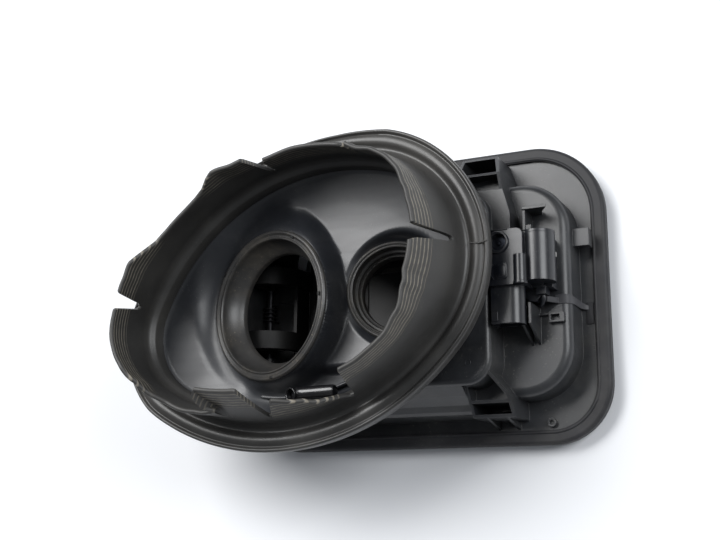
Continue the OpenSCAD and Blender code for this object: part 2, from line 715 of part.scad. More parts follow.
module actuator_housing() color("#191b20") {
    actuator_case();
    // fixed axle of the large wheel
    translate([wheel_x, case_y0 + 0.8, wheel_z]) rotate([-90, 0, 0])
        cylinder(d = 2.5, h = 7 - case_y0);
}

module actuator_case() difference() {
    union() {
        translate([0, 0, tray_top]) linear_extrude(case_top - 2 - tray_top) case_outline(0);
        // barrel of the motor and its cradle
        translate([motor_x, case_y0 + 2.5, wheel_z]) rotate([-90, 0, 0])
            cylinder(r = barrel_r, h = motor_y1 - case_y0 - 2.5);
        box([act_x + case_w - 4, case_y0 + 0.6, tray_top], [motor_x + 6, motor_y1, wheel_z - 4.6]);
        box([act_x + case_w - 4, case_y0 + 0.6, tray_top], [motor_x + 1.8, 4, wheel_z - 1.8]);
        // wedge below the barrel and the collar of the release rod
        translate([0, 0, tray_top]) linear_extrude(9) polygon([[act_x + 12, case_y0 + 1],
            [act_x + 26.5, case_y0 + 1], [act_x + 25, case_y0 - 2.6], [act_x + 21, case_y0 - 6.4],
            [act_x + 17.5, case_y0 - 6]]);
        box([motor_x - 2.6, case_y0 - 3, lock_z - 4], [motor_x + 2.6, case_y0 + 2, lock_z + 4.4]);
        // plug socket
        translate([act_x + 8.2, case_y0 + 0.5, 53]) rotate([90, 0, 0]) linear_extrude(20.5)
            socket_outline(0);
        // lug under the pot's hook
        box([act_x + 16, case_y1 - 1, 40], [act_x + 20, case_y1 + 2.3, 44.5]);
    }
    // gear chamber
    box([act_x + 1.6, case_y0 + 1.5, act_floor], [act_x + case_w - 1.5, 6.2, case_top]);
    box([act_x + case_w - 2, case_y0 + 1.5, act_floor], [motor_x + 0.4, 3, wheel_z - 2.9]);
    box([act_x + case_w - 2, 0.6, act_floor], [motor_x + 3.8, 6.2, wheel_z + 5.2]);
    translate([wheel_x, 0.6, wheel_z]) rotate([-90, 0, 0]) cylinder(r = wheel_r + 0.9, h = 5.6);
    // motor seat, shaft hole, axle and release rod
    translate([motor_x, motor_y0, wheel_z]) rotate([-90, 0, 0]) cylinder(r = motor_can_r + 0.05, h = 30);
    translate([motor_x, 5, wheel_z]) rotate([-90, 0, 0]) cylinder(d = 6, h = 10);
    translate([motor_x, case_y0 - 5, lock_z]) rotate([-90, 0, 0]) cylinder(d = 3.1, h = 12);
    // plug opening
    translate([act_x + 8.2, case_y0 - 4.5, 53]) rotate([90, 0, 0]) linear_extrude(20)
        socket_outline(1.5);
    // way of the lock pin
    translate([act_x - 1, lock_y, lock_z]) rotate([0, 90, 0]) cylinder(d = lock_d + 2*run, h = 4);
    // screw
    translate([screw_xy[0], screw_xy[1], tray_top - 1]) cylinder(d = 3.6, h = 40);
    translate([screw_xy[0], screw_xy[1], case_top - 6]) cylinder(d = 8.2, h = 10);
}

module actuator_cover() color("#202329") difference() {
    union() {
        translate([0, 0, case_top - 2]) linear_extrude(2) case_outline(0);
        // sleeve over the snap hook
        translate([act_x + 17.9, case_y0 + 1.4, case_top - 2]) rotate([-90, 0, 0])
            intersection() {
                cylinder(r = 3.6, h = 14.6);
                translate([-4, -8, 0]) cube([8, 8, 15]);
            }
        // raised ring around the screw
        translate([screw_xy[0], screw_xy[1], case_top - 1]) cylinder(d = 12.4, h = 1.4);
    }
    translate([screw_xy[0], screw_xy[1], case_top - 3]) cylinder(d = 8.6, h = 8);
}

module actuator_motor() color("#6d7075") translate([motor_x, motor_y0, wheel_z]) rotate([-90, 0, 0])
    difference() {
        union() {
            cylinder(r = motor_can_r, h = motor_y1 - motor_y0 - 1);
            translate([0, 0, -1.2]) cylinder(d = 5.8, h = 2);
        }
        translate([0, 0, -2]) cylinder(d = 2 + 2*run, h = 8);
    }

module motor_cap() color("#16181c") difference() {
    translate([motor_x, motor_y1, wheel_z]) rotate([-90, 0, 0]) {
        cylinder(r = barrel_r, h = 1.6);
        translate([0, 0, -1]) cylinder(r = motor_can_r, h = 1.2);
    }
    // clear of the case's corner
    box([act_x, motor_y1 - eps, 30], [act_x + case_w + 0.1, motor_y1 + 4, 70]);
}

module motor_pinion() color("#c9a34a") translate([motor_x, 0, wheel_z]) {
    translate([0, 2, 0]) spur(motor_n, wheel_m, 4, 1.9, motor_n % 2 == 0 ? 180/motor_n : 0);
    translate([0, 1.5, 0]) rotate([-90, 0, 0]) cylinder(d = 2, h = 11);
}

module drive_wheel() color("#e4e1d6") translate([wheel_x, 0, wheel_z]) difference() {
    union() {
        translate([0, 2.5, 0]) spur(wheel_n, wheel_m, 3, 1, 0);
        translate([0, lock_y - 3, 0]) spur(pinion_n, rack_m, 6.6, 1, 90);
    }
    translate([0, -20, 0]) rotate([-90, 0, 0]) cylinder(d = 2.5 + 2*run, h = 40);
}

bar_x = act_x + lock_travel + 2.1;
rack_x0 = wheel_x - PI*rack_m/2;
lock_tip = pot_in_right - 0.8;
module lock_pin() color("#d8d5c8") translate([0, lock_y, lock_z]) {
    translate([lock_tip + 1, 0, 0]) rotate([0, 90, 0]) cylinder(d = lock_d, h = bar_x - lock_tip - 1);
    translate([lock_tip, 0, 0]) rotate([0, 90, 0])
        cylinder(d1 = lock_d - 2, d2 = lock_d, h = 1 + eps);
    box([bar_x - eps, -bar_w/2, -lock_d/2], [bar_x + 14.4, bar_w/2, lock_d/2 - 0.9]);
    for (i = [0:4]) translate([rack_x0 + PI*rack_m*i, bar_w/2, lock_d/2 + 0.2])
        rotate([90, 0, 0]) linear_extrude(bar_w) polygon([[-0.86*rack_m, -1.2*rack_m],
            [-0.24*rack_m, 0.72*rack_m], [0.24*rack_m, 0.72*rack_m], [0.86*rack_m, -1.2*rack_m]]);
}

module lock_pin_seal() color("#141516") translate([pot_in_right, lock_y, lock_z])
    rotate([0, 90, 0]) tube(lock_d/2 + 1.5, lock_d/2 + run, act_x - pot_in_right);

module connector_terminals() color("#c8b27a") for (x = [3.6, 7.6, 11.6])
    translate([act_x + x, 0, 53]) box([-0.4, case_y0 - 13, -1.2], [0.4, case_y0 - 4.5, 1.2]);

// rod of the emergency release, with a bent end that the strap hangs on
module release_rod() color("#26282c") translate([motor_x, 0, lock_z]) {
    translate([0, case_y0 + 1.4, 0]) rotate([90, 0, 0]) cylinder(d = 3, h = 6);
    translate([0, case_y0 - 4.6, 0]) sphere(d = 3);
    translate([0, case_y0 - 4.6, 0]) rotate([125, 0, -30]) cylinder(d1 = 3, d2 = 2.2, h = 4.6);
}

// flat strap that lies on the tray and hangs over its edge down to the flange
module release_strap() color("#2a2b2e") {
    x1 = tray_right - tray_e;
    z1 = tray_top - tray_e;
    outer = [for (i = [0:8]) [x1 + (tray_e + 0.95)*sin(11.25*i), z1 + (tray_e + 0.95)*cos(11.25*i)]];
    inner = [for (i = [8:-1:0]) [x1 + (tray_e + 0.05)*sin(11.25*i), z1 + (tray_e + 0.05)*cos(11.25*i)]];
    translate([0, case_y0 - 1.4, 0]) rotate([90, 0, 0]) linear_extrude(5.2)
        polygon(concat([[motor_x + 4.4, tray_top + 0.95]], outer,
            [[tray_right + 1.6, flange_top + 3.4], [tray_right + 4.2, flange_top + 1.1],
            [tray_right + 7.2, flange_top + 0.3], [tray_right + 7.2, flange_top + 0.05],
            [tray_right + 4, flange_top + 0.05], [tray_right + 0.7, flange_top + 3]],
            inner, [[motor_x + 4.4, tray_top + 0.05]]));
    translate([0, case_y0 - 3.2, 0]) rotate([90, 0, 0]) linear_extrude(3.2)
        polygon([[motor_x + 1.1, lock_z - 0.6], [motor_x + 2.2, lock_z - 0.6],
            [motor_x + 6.2, tray_top + 0.7], [motor_x + 6.2, tray_top + 0.3],
            [motor_x + 5, tray_top + 0.3]]);
}

// screw of the lock, its thread left plain
module housing_screw() color("#46484c") translate([screw_xy[0], screw_xy[1], case_top - 6]) {
    translate([0, 0, tray_top - case_top + 6 - 5]) cylinder(d = 3, h = case_top - 6 - tray_top + 5);
    difference() {
        cylinder(d = 7.4, h = 2.6);
        translate([0, 0, 1.2]) cylinder(d = 3, h = 2, $fn = 6);
    }
}

filler_pot();
edge_seal();
neck_bowl();
gaiter_skirt();
fuel_neck_seal();
additive_neck_seal();
drain_spout();
flap_skin();
flap_inner_panel();
hinge_pin();
hinge_spring();
left_buffer();
right_buffer();
upper_body_clip();
lower_body_clip();
actuator_housing();
actuator_cover();
actuator_motor();
motor_cap();
motor_pinion();
drive_wheel();
lock_pin();
lock_pin_seal();
connector_terminals();
release_rod();
release_strap();
housing_screw();
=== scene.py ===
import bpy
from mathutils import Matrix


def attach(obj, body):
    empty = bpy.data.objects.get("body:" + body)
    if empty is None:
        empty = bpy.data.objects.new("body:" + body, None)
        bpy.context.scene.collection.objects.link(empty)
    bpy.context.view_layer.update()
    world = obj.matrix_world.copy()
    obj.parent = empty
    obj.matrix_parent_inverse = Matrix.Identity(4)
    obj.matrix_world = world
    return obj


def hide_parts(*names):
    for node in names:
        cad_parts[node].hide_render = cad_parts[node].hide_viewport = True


bl_info = {
    "name": "Fuel filler flap housing",
    "version": (1, 0, 0),
    "blender": (4, 5, 0),
    "location": "View3D > Sidebar > Filler housing",
    "description": "Builds the detailed pieces and finishes of a fuel filler flap housing",
    "category": "Object",
}

import bpy
import bmesh
import math
from mathutils import Matrix, Vector

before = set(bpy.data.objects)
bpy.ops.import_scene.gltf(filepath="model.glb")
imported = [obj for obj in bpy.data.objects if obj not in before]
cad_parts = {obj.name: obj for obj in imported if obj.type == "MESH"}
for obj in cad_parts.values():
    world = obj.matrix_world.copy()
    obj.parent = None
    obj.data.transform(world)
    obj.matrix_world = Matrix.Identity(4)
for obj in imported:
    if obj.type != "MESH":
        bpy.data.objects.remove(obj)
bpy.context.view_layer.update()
MM = 0.001

# sizes that the pieces share with the frame, in millimetres
BOWL_AT, BOWL_TURN = (-48.5, -2.5), 18
OVAL_L, OVAL_LEFT, OVAL_RIGHT, OVAL_SIDE = 117.5, 58, 77, 142
RIM_Z, LEDGE_Z, FLOOR_Z = 76.7, 69.7, 63.5
SKIRT_TOP, WALL_FOOT = 121, 83.8
FUEL_AT, FUEL_TILT, FUEL_RING, FUEL_HOLE, FUEL_BORE = (-67.5, -7.5, 71), -15, 43.7, 39.8, 32
ADD_AT, ADD_TILT, ADD_RING, ADD_HOLE, ADD_BORE = (5, -2.5, 57), 12, 28.2, 26, 20.5

PANEL_TOP = 7.0

# the bowl's floor: inset at which it begins to fall, over what width, and the depth of its gutter
FLOOR_EDGE, FLOOR_RUN, GUTTER_DEPTH = 22.5, 34, 7.5
# width of the slope around each neck, by the direction from the neck in degrees
FUEL_SLOPE = [
    (-180, 15), (-120, 12), (-70, 7), (-40, 5), (-15, 4), (15, 4), (45, 9), (90, 24), (135, 18),
    (180, 15),
]
ADD_SLOPE = [(-180, 3.2), (-120, 5), (-60, 6), (60, 7), (120, 5), (180, 3.2)]
# thickness of the bowl, and the wall on which it stands on the pot: inset, foot, height, thickness
BOWL_WALL = 2.0
STAND_INSET, STAND_FOOT, STAND_HEIGHT, STAND_WALL = 31.2, 57.05, 5.5, 1.6

# the skirt's wall: where it bends, where it begins to lean, over what height, and its straight inset
WALL_BEND, LEAN_FOOT, LEAN_RUN, STRAIGHT_INSET = 91.2, 88, 33, 20.6
# its rounded tip: height, how far each of its points drops, and their places across the wall
TIP_HEIGHT, TIP_DROPS, TIP_PLACES = 0.9, (0.25, 0, 0.25), (0.18, 0.5, 0.82)
# tabs whose free edge is lower: first angle, last angle, height
LOW_TABS = ((36.8, 79.2, 110), (-111, -74, 107))
RIB_PITCH, RIB_OFFSET = 2.75, 0.6
RING_FADE = 14.5

# the camera fitted to the photo: place in millimetres, directions, lens and sensor
CAMERA_AT = (244.51, -135.13, 604.83)
CAMERA_AHEAD, CAMERA_UP = (-0.4195, 0.2348, -0.8768), (0.0949, 0.9720, 0.2149)
CAMERA_LENS, CAMERA_SENSOR = 55, 36

# centres and joints of the oval's four arcs, in the bowl's frame
CX_L, CX_R = -OVAL_L + OVAL_LEFT, OVAL_L - OVAL_RIGHT
TO_L, TO_R = OVAL_SIDE - OVAL_LEFT, OVAL_SIDE - OVAL_RIGHT
CX_S = CX_L + (TO_L * TO_L - TO_R * TO_R + (CX_R - CX_L) ** 2) / (2 * (CX_R - CX_L))
CY_S = math.sqrt(TO_L * TO_L - (CX_S - CX_L) ** 2)
ANG_R, ANG_L = math.atan2(CY_S, CX_R - CX_S), math.atan2(CY_S, CX_L - CX_S)


def smooth(t):
    """0 to 1 with soft ends."""
    t = min(max(t, 0.0), 1.0)
    return t * t * (3 - 2 * t)


def mix(a, b, t):
    """From a to b by the share t."""
    return a + (b - a) * t


def along(table, x, ease=lambda t: t):
    """Interpolation in a table of (place, value), straight or eased."""
    if x <= table[0][0]:
        return table[0][1]
    for (x0, y0), (x1, y1) in zip(table, table[1:]):
        if x <= x1:
            return mix(y0, y1, ease((x - x0) / (x1 - x0)))
    return table[-1][1]


def in_metres(matrix):
    """The matrix with its place in metres instead of millimetres."""
    placed = matrix.copy()
    placed.translation = matrix.translation * MM
    return placed


def bowl_matrix():
    """The bowl's frame in the scene, in metres."""
    turn = Matrix.Rotation(math.radians(BOWL_TURN), 4, "Z")
    return in_metres(Matrix.Translation((BOWL_AT[0], BOWL_AT[1], 0)) @ turn)


def neck_matrix(at, tilt):
    """A tilted neck's frame, in millimetres."""
    return Matrix.Translation(at) @ Matrix.Rotation(math.radians(tilt), 4, "Y")


def oval_station(distance):
    """Centre, radius and direction of the oval's arc at a distance along it, from the right-hand end."""
    arcs = (
        ((CX_R, 0), OVAL_RIGHT, 0, ANG_R),
        ((CX_S, -CY_S), OVAL_SIDE, ANG_R, ANG_L),
        ((CX_L, 0), OVAL_LEFT, ANG_L, 2 * math.pi - ANG_L),
        ((CX_S, CY_S), OVAL_SIDE, 2 * math.pi - ANG_L, 2 * math.pi - ANG_R),
        ((CX_R, 0), OVAL_RIGHT, 2 * math.pi - ANG_R, 2 * math.pi),
    )
    for centre, radius, start, end in arcs:
        length = radius * (end - start)
        if distance <= length + 1e-9:
            return centre, radius, start + distance / radius
        distance -= length
    return arcs[-1][0], OVAL_RIGHT, 2 * math.pi


OVAL_LENGTH = 2 * (OVAL_RIGHT * ANG_R + OVAL_SIDE * (ANG_L - ANG_R) + OVAL_LEFT * (math.pi - ANG_L))


def oval_point(distance, inset):
    """Point in the bowl's frame at a distance along the oval and an inset from its edge."""
    (x, y), radius, angle = oval_station(distance)
    return x + (radius - inset) * math.cos(angle), y + (radius - inset) * math.sin(angle)


def oval_inset(u, v):
    """How far a point in the bowl's frame lies inside the rim's outer edge."""
    if abs(math.atan2(v, u - CX_R)) < ANG_R:
        return OVAL_RIGHT - math.hypot(u - CX_R, v)
    if abs(math.atan2(v, u - CX_L)) > ANG_L:
        return OVAL_LEFT - math.hypot(u - CX_L, v)
    return OVAL_SIDE - math.hypot(u - CX_S, abs(v) + CY_S)


# finishes
class Value:
    """A node's output that can be used in sums; each sum adds its Math node."""

    def __init__(self, finish, socket):
        self.finish, self.socket = finish, socket

    def _sum(self, operation, *terms):
        return self.finish.add("ShaderNodeMath", {"operation": operation}, *terms)

    def __add__(self, other):
        return self._sum("ADD", self, other)

    def __sub__(self, other):
        return self._sum("SUBTRACT", self, other)

    def __rsub__(self, other):
        return self._sum("SUBTRACT", other, self)

    def __mul__(self, other):
        return self._sum("MULTIPLY", self, other)

    def __truediv__(self, other):
        return self._sum("DIVIDE", self, other)

    def clamped(self):
        return self.finish.add("ShaderNodeClamp", {}, self, 0.0, 1.0)

    def step(self, low, high):
        """0 below low, 1 above high, soft between."""
        return self.finish.add(
            "ShaderNodeMapRange", {"interpolation_type": "SMOOTHSTEP"}, self, low, high, 0.0, 1.0
        )

    __radd__ = __add__
    __rmul__ = __mul__


class Finish:
    """A material and the one way in which its nodes are added."""

    def __init__(self, name, roughness, specular=0.5, coat=0.0, metallic=0.0):
        self.material = bpy.data.materials.new(name)
        self.material.use_nodes = True
        self.tree = self.material.node_tree
        self.shader = next(n for n in self.tree.nodes if n.type == "BSDF_PRINCIPLED")
        self.shader.inputs["Roughness"].default_value = roughness
        self.shader.inputs["Specular IOR Level"].default_value = specular
        self.shader.inputs["Coat Weight"].default_value = coat
        self.shader.inputs["Coat Roughness"].default_value = 0.12
        self.shader.inputs["Metallic"].default_value = metallic
        self.place = self.add("ShaderNodeTexCoord", {}, output="Object")

    def add(self, kind, settings, *values, output=0, **named):
        node = self.tree.nodes.new(kind)
        for key, value in settings.items():
            if key == "stops":
                ramp = node.color_ramp
                for i, (at, colour) in enumerate(value):
                    stop = ramp.elements[i] if i < 2 else ramp.elements.new(at)
                    stop.position, stop.color = at, (*colour, 1)
            else:
                setattr(node, key, value)
        places = [s for s in node.inputs if s.enabled]
        for socket, value in list(zip(places, values)) + [
            (self._named(node, k), v) for k, v in named.items()
        ]:
            if isinstance(value, Value):
                self.tree.links.new(value.socket, socket)
            elif socket.type == "RGBA" and len(value) == 3:
                socket.default_value = (*value, 1)
            else:
                socket.default_value = value
        outputs = [s for s in node.outputs if s.enabled]
        return Value(self, node.outputs[output] if isinstance(output, str) else outputs[output])

    @staticmethod
    def _named(node, key):
        return next(s for s in node.inputs if s.enabled and s.name.replace(" ", "_").lower() == key)

    def noise(self, scale, detail=2.0, rough=0.5):
        return self.add(
            "ShaderNodeTexNoise", {}, vector=self.place, scale=scale, detail=detail, roughness=rough
        )

    def blend(self, amount, first, second):
        return self.add("ShaderNodeMix", {"data_type": "RGBA"}, amount, first, second)

    def shades(self, amount, colour, low, high):
        """A colour that wanders between two of its shades."""
        return self.blend(amount, tuple(c * low for c in colour), tuple(c * high for c in colour))

    def feed(self, name, value):
        self.tree.links.new(value.socket, self.shader.inputs[name])

    def relief(self, height, distance, strength=1.0, edge=None):
        """Raises the surface by a height in 0 to 1 times a distance in metres, over a softened edge."""
        values = {"strength": strength, "distance": distance, "height": height}
        if edge:
            values["normal"] = self.add("ShaderNodeBevel", {"samples": 6}, radius=edge)
        self.feed("Normal", self.add("ShaderNodeBump", {}, **values))


def dust_on(finish, amount, fine=900.0):
    """Small pale specks and a thin uneven film of dust, as a value from 0 to 1."""
    speck = finish.noise(fine, 1.0, 0.4).step(0.70, 0.74)
    where = finish.noise(45.0, 2.0, 0.6).step(0.40, 0.66)
    film = finish.noise(28.0, 5.0, 0.65).step(0.42, 0.78)
    return (speck * where * 0.9 + film * 0.35) * amount


def moulded(name, colour, roughness, grain, depth, dust=0.5, edge=0.0006, specular=0.32):
    """Moulded plastic or rubber with an eroded grain, uneven gloss, dust and softened edges."""
    f = Finish(name, roughness, specular)
    fine = f.noise(grain, 3.0, 0.6)
    broad = f.noise(35.0, 3.0, 0.55)
    dusty = dust_on(f, dust)
    film = f.noise(17.0, 4.0, 0.6).step(0.44, 0.74)
    tone = f.shades(broad.step(0.25, 0.75), colour, 0.82, 1.18)
    tone = f.blend(film * dust, tone, tuple(c * 2.6 for c in colour))
    f.feed("Base Color", f.blend(dusty, tone, (0.15, 0.145, 0.13)))
    f.feed("Roughness", (fine * 0.16 + broad * 0.14 + dusty * 0.25 + (roughness - 0.15)).clamped())
    f.relief(fine + broad * 0.1, depth, 1.0, edge)
    return f.material


def worn_seal(name, colour):
    """Satin seal rubber with pale dust and faint brownish patches on its narrow mouldings."""
    f = Finish(name, 0.36, 0.5)
    grain = f.noise(1500.0, 3.0, 0.6)
    broad = f.noise(40.0, 4.0, 0.6)
    dusty = dust_on(f, 0.7, 1000.0)
    brown = f.noise(60.0, 5.0, 0.7).step(0.45, 0.75) * 0.35
    tone = f.shades(broad.step(0.25, 0.75), colour, 0.8, 1.3)
    f.feed("Base Color", f.blend((dusty + brown * 0.5).clamped(), tone, (0.15, 0.13, 0.10)))
    f.feed("Roughness", (broad * 0.2 + grain * 0.08 + dusty * 0.2 + 0.2).clamped())
    f.relief(grain * 0.3 + broad * 0.4, 0.0001, 1.0, 0.0003)
    return f.material


def polished(name, colour, roughness, dust=0.3, streak=0.1, edge=0.0006):
    """Smooth glossy plastic with faint wipe marks and dust."""
    f = Finish(name, roughness, 0.5, 0.08)
    drawn = f.add(
        "ShaderNodeMapping", {}, vector=f.place, scale=(22.0, 160.0, 60.0), rotation=(0.0, 0.0, 0.5)
    )
    wipe = f.add("ShaderNodeTexNoise", {}, vector=drawn, scale=1.0, detail=4.0, roughness=0.6)
    broad = f.noise(24.0, 2.0, 0.5)
    dusty = dust_on(f, dust, 1300.0)
    tone = f.shades(broad.step(0.3, 0.7), colour, 0.85, 1.15)
    f.feed("Base Color", f.blend(dusty, tone, (0.16, 0.155, 0.145)))
    f.feed("Roughness", (wipe * streak * 2 + broad * 0.06 + dusty * 0.3 + (roughness - streak)).clamped())
    f.relief(broad + wipe * 0.06, 0.00035, 0.35, edge)
    return f.material


def ribbed_rubber(name, colour, rib_colour):
    """Dusty soft rubber with fine parallel ribs that follow the free edge of each tab."""
    f = Finish(name, 0.56, 0.42)
    depth = f.add("ShaderNodeAttribute", {"attribute_name": "rib_depth"}, output="Fac")
    mask = f.add("ShaderNodeAttribute", {"attribute_name": "rib_mask"}, output="Fac")
    turn = (depth + RIB_OFFSET) / RIB_PITCH
    saw = f.add("ShaderNodeMath", {"operation": "PINGPONG"}, turn, 0.5)
    inside = depth.step(1.2, 2.0) * (1 - depth.step(15.2, 16.4)) * mask.clamped()
    line = (1 - saw.step(0.10, 0.22)) * inside
    height = f.add("ShaderNodeSeparateXYZ", {}, f.place, output=2)
    rim = 1 - height.step(0.0805, 0.085)
    grain = f.noise(1600.0, 3.0, 0.6)
    broad = f.noise(30.0, 4.0, 0.6)
    patch = f.noise(9.0, 3.0, 0.55)
    worn = f.noise(260.0, 2.0, 0.6).step(0.35, 0.6)
    dusty = dust_on(f, 0.55, 800.0) + inside * 0.10
    tone = f.shades(broad.step(0.25, 0.75), colour, 0.8, 1.25)
    rubbed = f.blend((dusty + patch.step(0.5, 0.75) * 0.12).clamped(), tone, (0.085, 0.079, 0.068))
    f.feed("Base Color", f.blend(line * (worn * 0.4 + 0.5), rubbed, rib_colour))
    f.feed("Roughness", (broad * 0.2 + grain * 0.1 + dusty * 0.2 - rim * 0.12 + 0.34).clamped())
    f.relief(grain * 0.12 + line * 0.9 + broad * 0.25, 0.0003, 1.0)
    return f.material


def metal(name, colour, roughness):
    """Bare or plated metal with fine scratches."""
    f = Finish(name, roughness, 0.5, 0.0, 1.0)
    fine = f.noise(420.0, 5.0, 0.7)
    broad = f.noise(90.0, 3.0, 0.5)
    f.feed("Base Color", f.shades(broad.step(0.3, 0.7), colour, 0.75, 1))
    f.feed("Roughness", (fine * 0.3 + (roughness - 0.1)).clamped())
    f.relief(fine, 0.00004, 0.6, 0.0003)
    return f.material


# tools for the pieces
def joined(parts):
    """One bmesh from several, which are freed."""
    whole = bmesh.new()
    for part in parts:
        scrap = bpy.data.meshes.new("scrap")
        part.to_mesh(scrap)
        part.free()
        whole.from_mesh(scrap)
        bpy.data.meshes.remove(scrap)
    return whole


def piece(bm, name, finish, body="housing", nodes=(), angle=38, outward=True):
    """The finished object of a bmesh, riding on its body."""
    bmesh.ops.remove_doubles(bm, verts=bm.verts, dist=1e-6)
    if outward:
        bmesh.ops.recalc_face_normals(bm, faces=bm.faces)
    mesh = bpy.data.meshes.new(name)
    bm.to_mesh(mesh)
    bm.free()
    mesh.polygons.foreach_set("use_smooth", [True] * len(mesh.polygons))
    mesh.set_sharp_from_angle(angle=math.radians(angle))
    mesh.materials.append(bpy.data.materials[finish])
    obj = bpy.data.objects.new(name, mesh)
    bpy.context.scene.collection.objects.link(obj)
    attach(obj, body)
    if nodes:
        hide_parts(*nodes)
    return obj


def turned(profile, matrix, steps):
    """A closed profile of (radius, height) in millimetres spun around the matrix's Z axis."""
    bm = bmesh.new()
    verts = [bm.verts.new((r * MM, 0, h * MM)) for r, h in profile]
    edges = closed_loop(bm, verts)
    bmesh.ops.spin(
        bm, geom=verts + edges, cent=(0, 0, 0), axis=(0, 0, 1), dvec=(0, 0, 0),
        angle=2 * math.pi, steps=steps, use_merge=True, use_duplicate=False,
    )
    bmesh.ops.remove_doubles(bm, verts=bm.verts, dist=1e-7)
    bmesh.ops.transform(bm, matrix=in_metres(matrix), verts=bm.verts)
    return bm


def slab(outline, low, high, axis="Z", soft=0.4, segments=3):
    """An outline in millimetres extruded along an axis, with rounded edges."""
    order = {"Z": (0, 1, 2), "Y": (0, 2, 1), "X": (1, 2, 0)}[axis]

    def at(p, h):
        spot = dict(zip(order, (*p, h)))
        return [spot[i] * MM for i in range(3)]

    bm = bmesh.new()
    face = bm.faces.new([bm.verts.new(at(p, low)) for p in outline])
    grown = bmesh.ops.extrude_face_region(bm, geom=[face])
    bmesh.ops.translate(
        bm, verts=[g for g in grown["geom"] if isinstance(g, bmesh.types.BMVert)],
        vec=Vector(at((0, 0), high - low)),
    )
    bmesh.ops.recalc_face_normals(bm, faces=bm.faces)
    if soft:
        sharp = [e for e in bm.edges if len(e.link_faces) == 2 and e.calc_face_angle(0) > 0.5]
        bmesh.ops.bevel(
            bm, geom=sharp, offset=soft * MM, offset_type="OFFSET", segments=segments,
            profile=0.5, affect="EDGES", material=-1, clamp_overlap=True,
        )
    return bm


def closed_loop(bm, verts):
    """Edges from each vertex to the next and back to the first."""
    return [bm.edges.new(pair) for pair in zip(verts, verts[1:] + verts[:1])]


def extruded(bm, edges):
    """The new vertices and the far edges that an extrusion of edges makes."""
    grown = bmesh.ops.extrude_edge_only(bm, edges=edges)["geom"]
    verts = [g for g in grown if isinstance(g, bmesh.types.BMVert)]
    new = set(verts)
    return verts, [g for g in grown if isinstance(g, bmesh.types.BMEdge) and new.issuperset(g.verts)]


def thicken(obj, wall):
    """Gives a surface a wall of so many millimetres behind it."""
    modifier = obj.modifiers.new("wall", "SOLIDIFY")
    modifier.thickness, modifier.offset = wall * MM, -1


def arc(cx, cy, r, start, end, count=8):
    """Points along an arc between two angles in degrees."""
    return [
        (cx + r * math.cos(math.radians(mix(start, end, i / count))),
         cy + r * math.sin(math.radians(mix(start, end, i / count))))
        for i in range(count + 1)
    ]


def box_outline(x0, y0, x1, y1, r):
    """Outline of a rectangle with rounded corners."""
    return (arc(x1 - r, y1 - r, r, 0, 90, 4) + arc(x0 + r, y1 - r, r, 90, 180, 4)
            + arc(x0 + r, y0 + r, r, 180, 270, 4) + arc(x1 - r, y0 + r, r, 270, 360, 4))


def rod(points, radii, sides=16):
    """A round bar through points, each with its own radius, closed at both ends."""
    bm = bmesh.new()
    points = [Vector(p) * MM for p in points]
    ring = None
    for i, (p, r) in enumerate(zip(points, radii)):
        ahead = (points[min(i + 1, len(points) - 1)] - points[max(i - 1, 0)]).normalized()
        turn = ahead.to_track_quat("Z", "Y").to_matrix().to_4x4()
        turn.translation = p
        made = bmesh.ops.create_circle(bm, cap_ends=False, segments=sides, radius=r * MM, matrix=turn)
        edges = list({e for v in made["verts"] for e in v.link_edges})
        if ring:
            bmesh.ops.bridge_loops(bm, edges=ring + edges)
        ring = edges
    bmesh.ops.holes_fill(bm, edges=[e for e in bm.edges if e.is_boundary], sides=0)
    return bm


# height of the skirt's free edge by the angle around the bowl, and how far in the edge stands there
FREE_EDGE = [
    (-180, 121), (-170, 121), (-165, 119), (-160, 112), (-154, 107.5), (-146, 106.5), (-136, 107),
    (-131.8, 107.5), (-130.8, 121), (-114.6, 121), (-113.2, 97), (-112.6, 92.5), (-111.6, 92),
    (-110.8, 94), (-105, 108), (-103.5, 108.8), (-92, 104), (-86, 100.5), (-81, 96.5), (-77, 90),
    (-74.5, 86), (-73, 85.5), (-72, 88), (-69, 103), (-65.5, 119), (-64.5, 121), (-12.2, 121),
    (-11, 117), (-9.6, 102), (-9, 92), (-8.4, 88.6), (-7.8, 88), (-7.2, 89), (-6.9, 93), (-6.7, 119),
    (-6.2, 121), (34.6, 121), (35.4, 118), (36.2, 104), (36.8, 102.5), (37.6, 103), (38.6, 107),
    (40.5, 109.5), (42, 110), (70, 109.5), (76, 109), (77.2, 105), (78.2, 90), (78.9, 87.4),
    (79.6, 87.4), (80.2, 90), (80.8, 100), (81.6, 118), (82.2, 121), (98.5, 121), (103, 118.5),
    (109, 112.5), (114, 110.8), (122, 110), (134, 109.8), (140, 111), (147, 117), (151.5, 121),
    (162, 121), (162.6, 119), (163.4, 106), (163.9, 97), (164.5, 95), (165.2, 95), (165.8, 97),
    (166.6, 108), (167.5, 119), (168.2, 121), (180, 121),
]
EDGE_INSET = [
    (-180, 20.5), (-173, 20), (-165, 18.5), (-159, 14), (-148, 11), (-140, 14), (-132, 18.5),
    (-130, 28), (-116, 28), (-111, 24.5), (-104, 26), (-92, 22), (-84, 13.5), (-78, 10.5), (-72, 14),
    (-66, 18.5), (-56, 17), (-44, 16.5), (-36, 19), (-27, 24), (-22, 26.5), (-12, 26.5), (-6, 24.5),
    (1, 24), (7, 22.5), (14, 20), (19, 19.5), (24, 20), (30, 22), (40, 19), (60, 18), (74, 20.5),
    (87, 20.5), (98, 18), (106, 19), (120, 20.5), (140, 20), (152, 18.5), (158, 20), (168, 22),
    (180, 20.5),
]
# how much narrower the ring stands on the side away from the viewer
RING_IN = [(-180, 2.5), (-168, 0), (34, 0), (52, 3.4), (70, 5.2), (120, 5.2), (160, 4.6), (180, 2.5)]


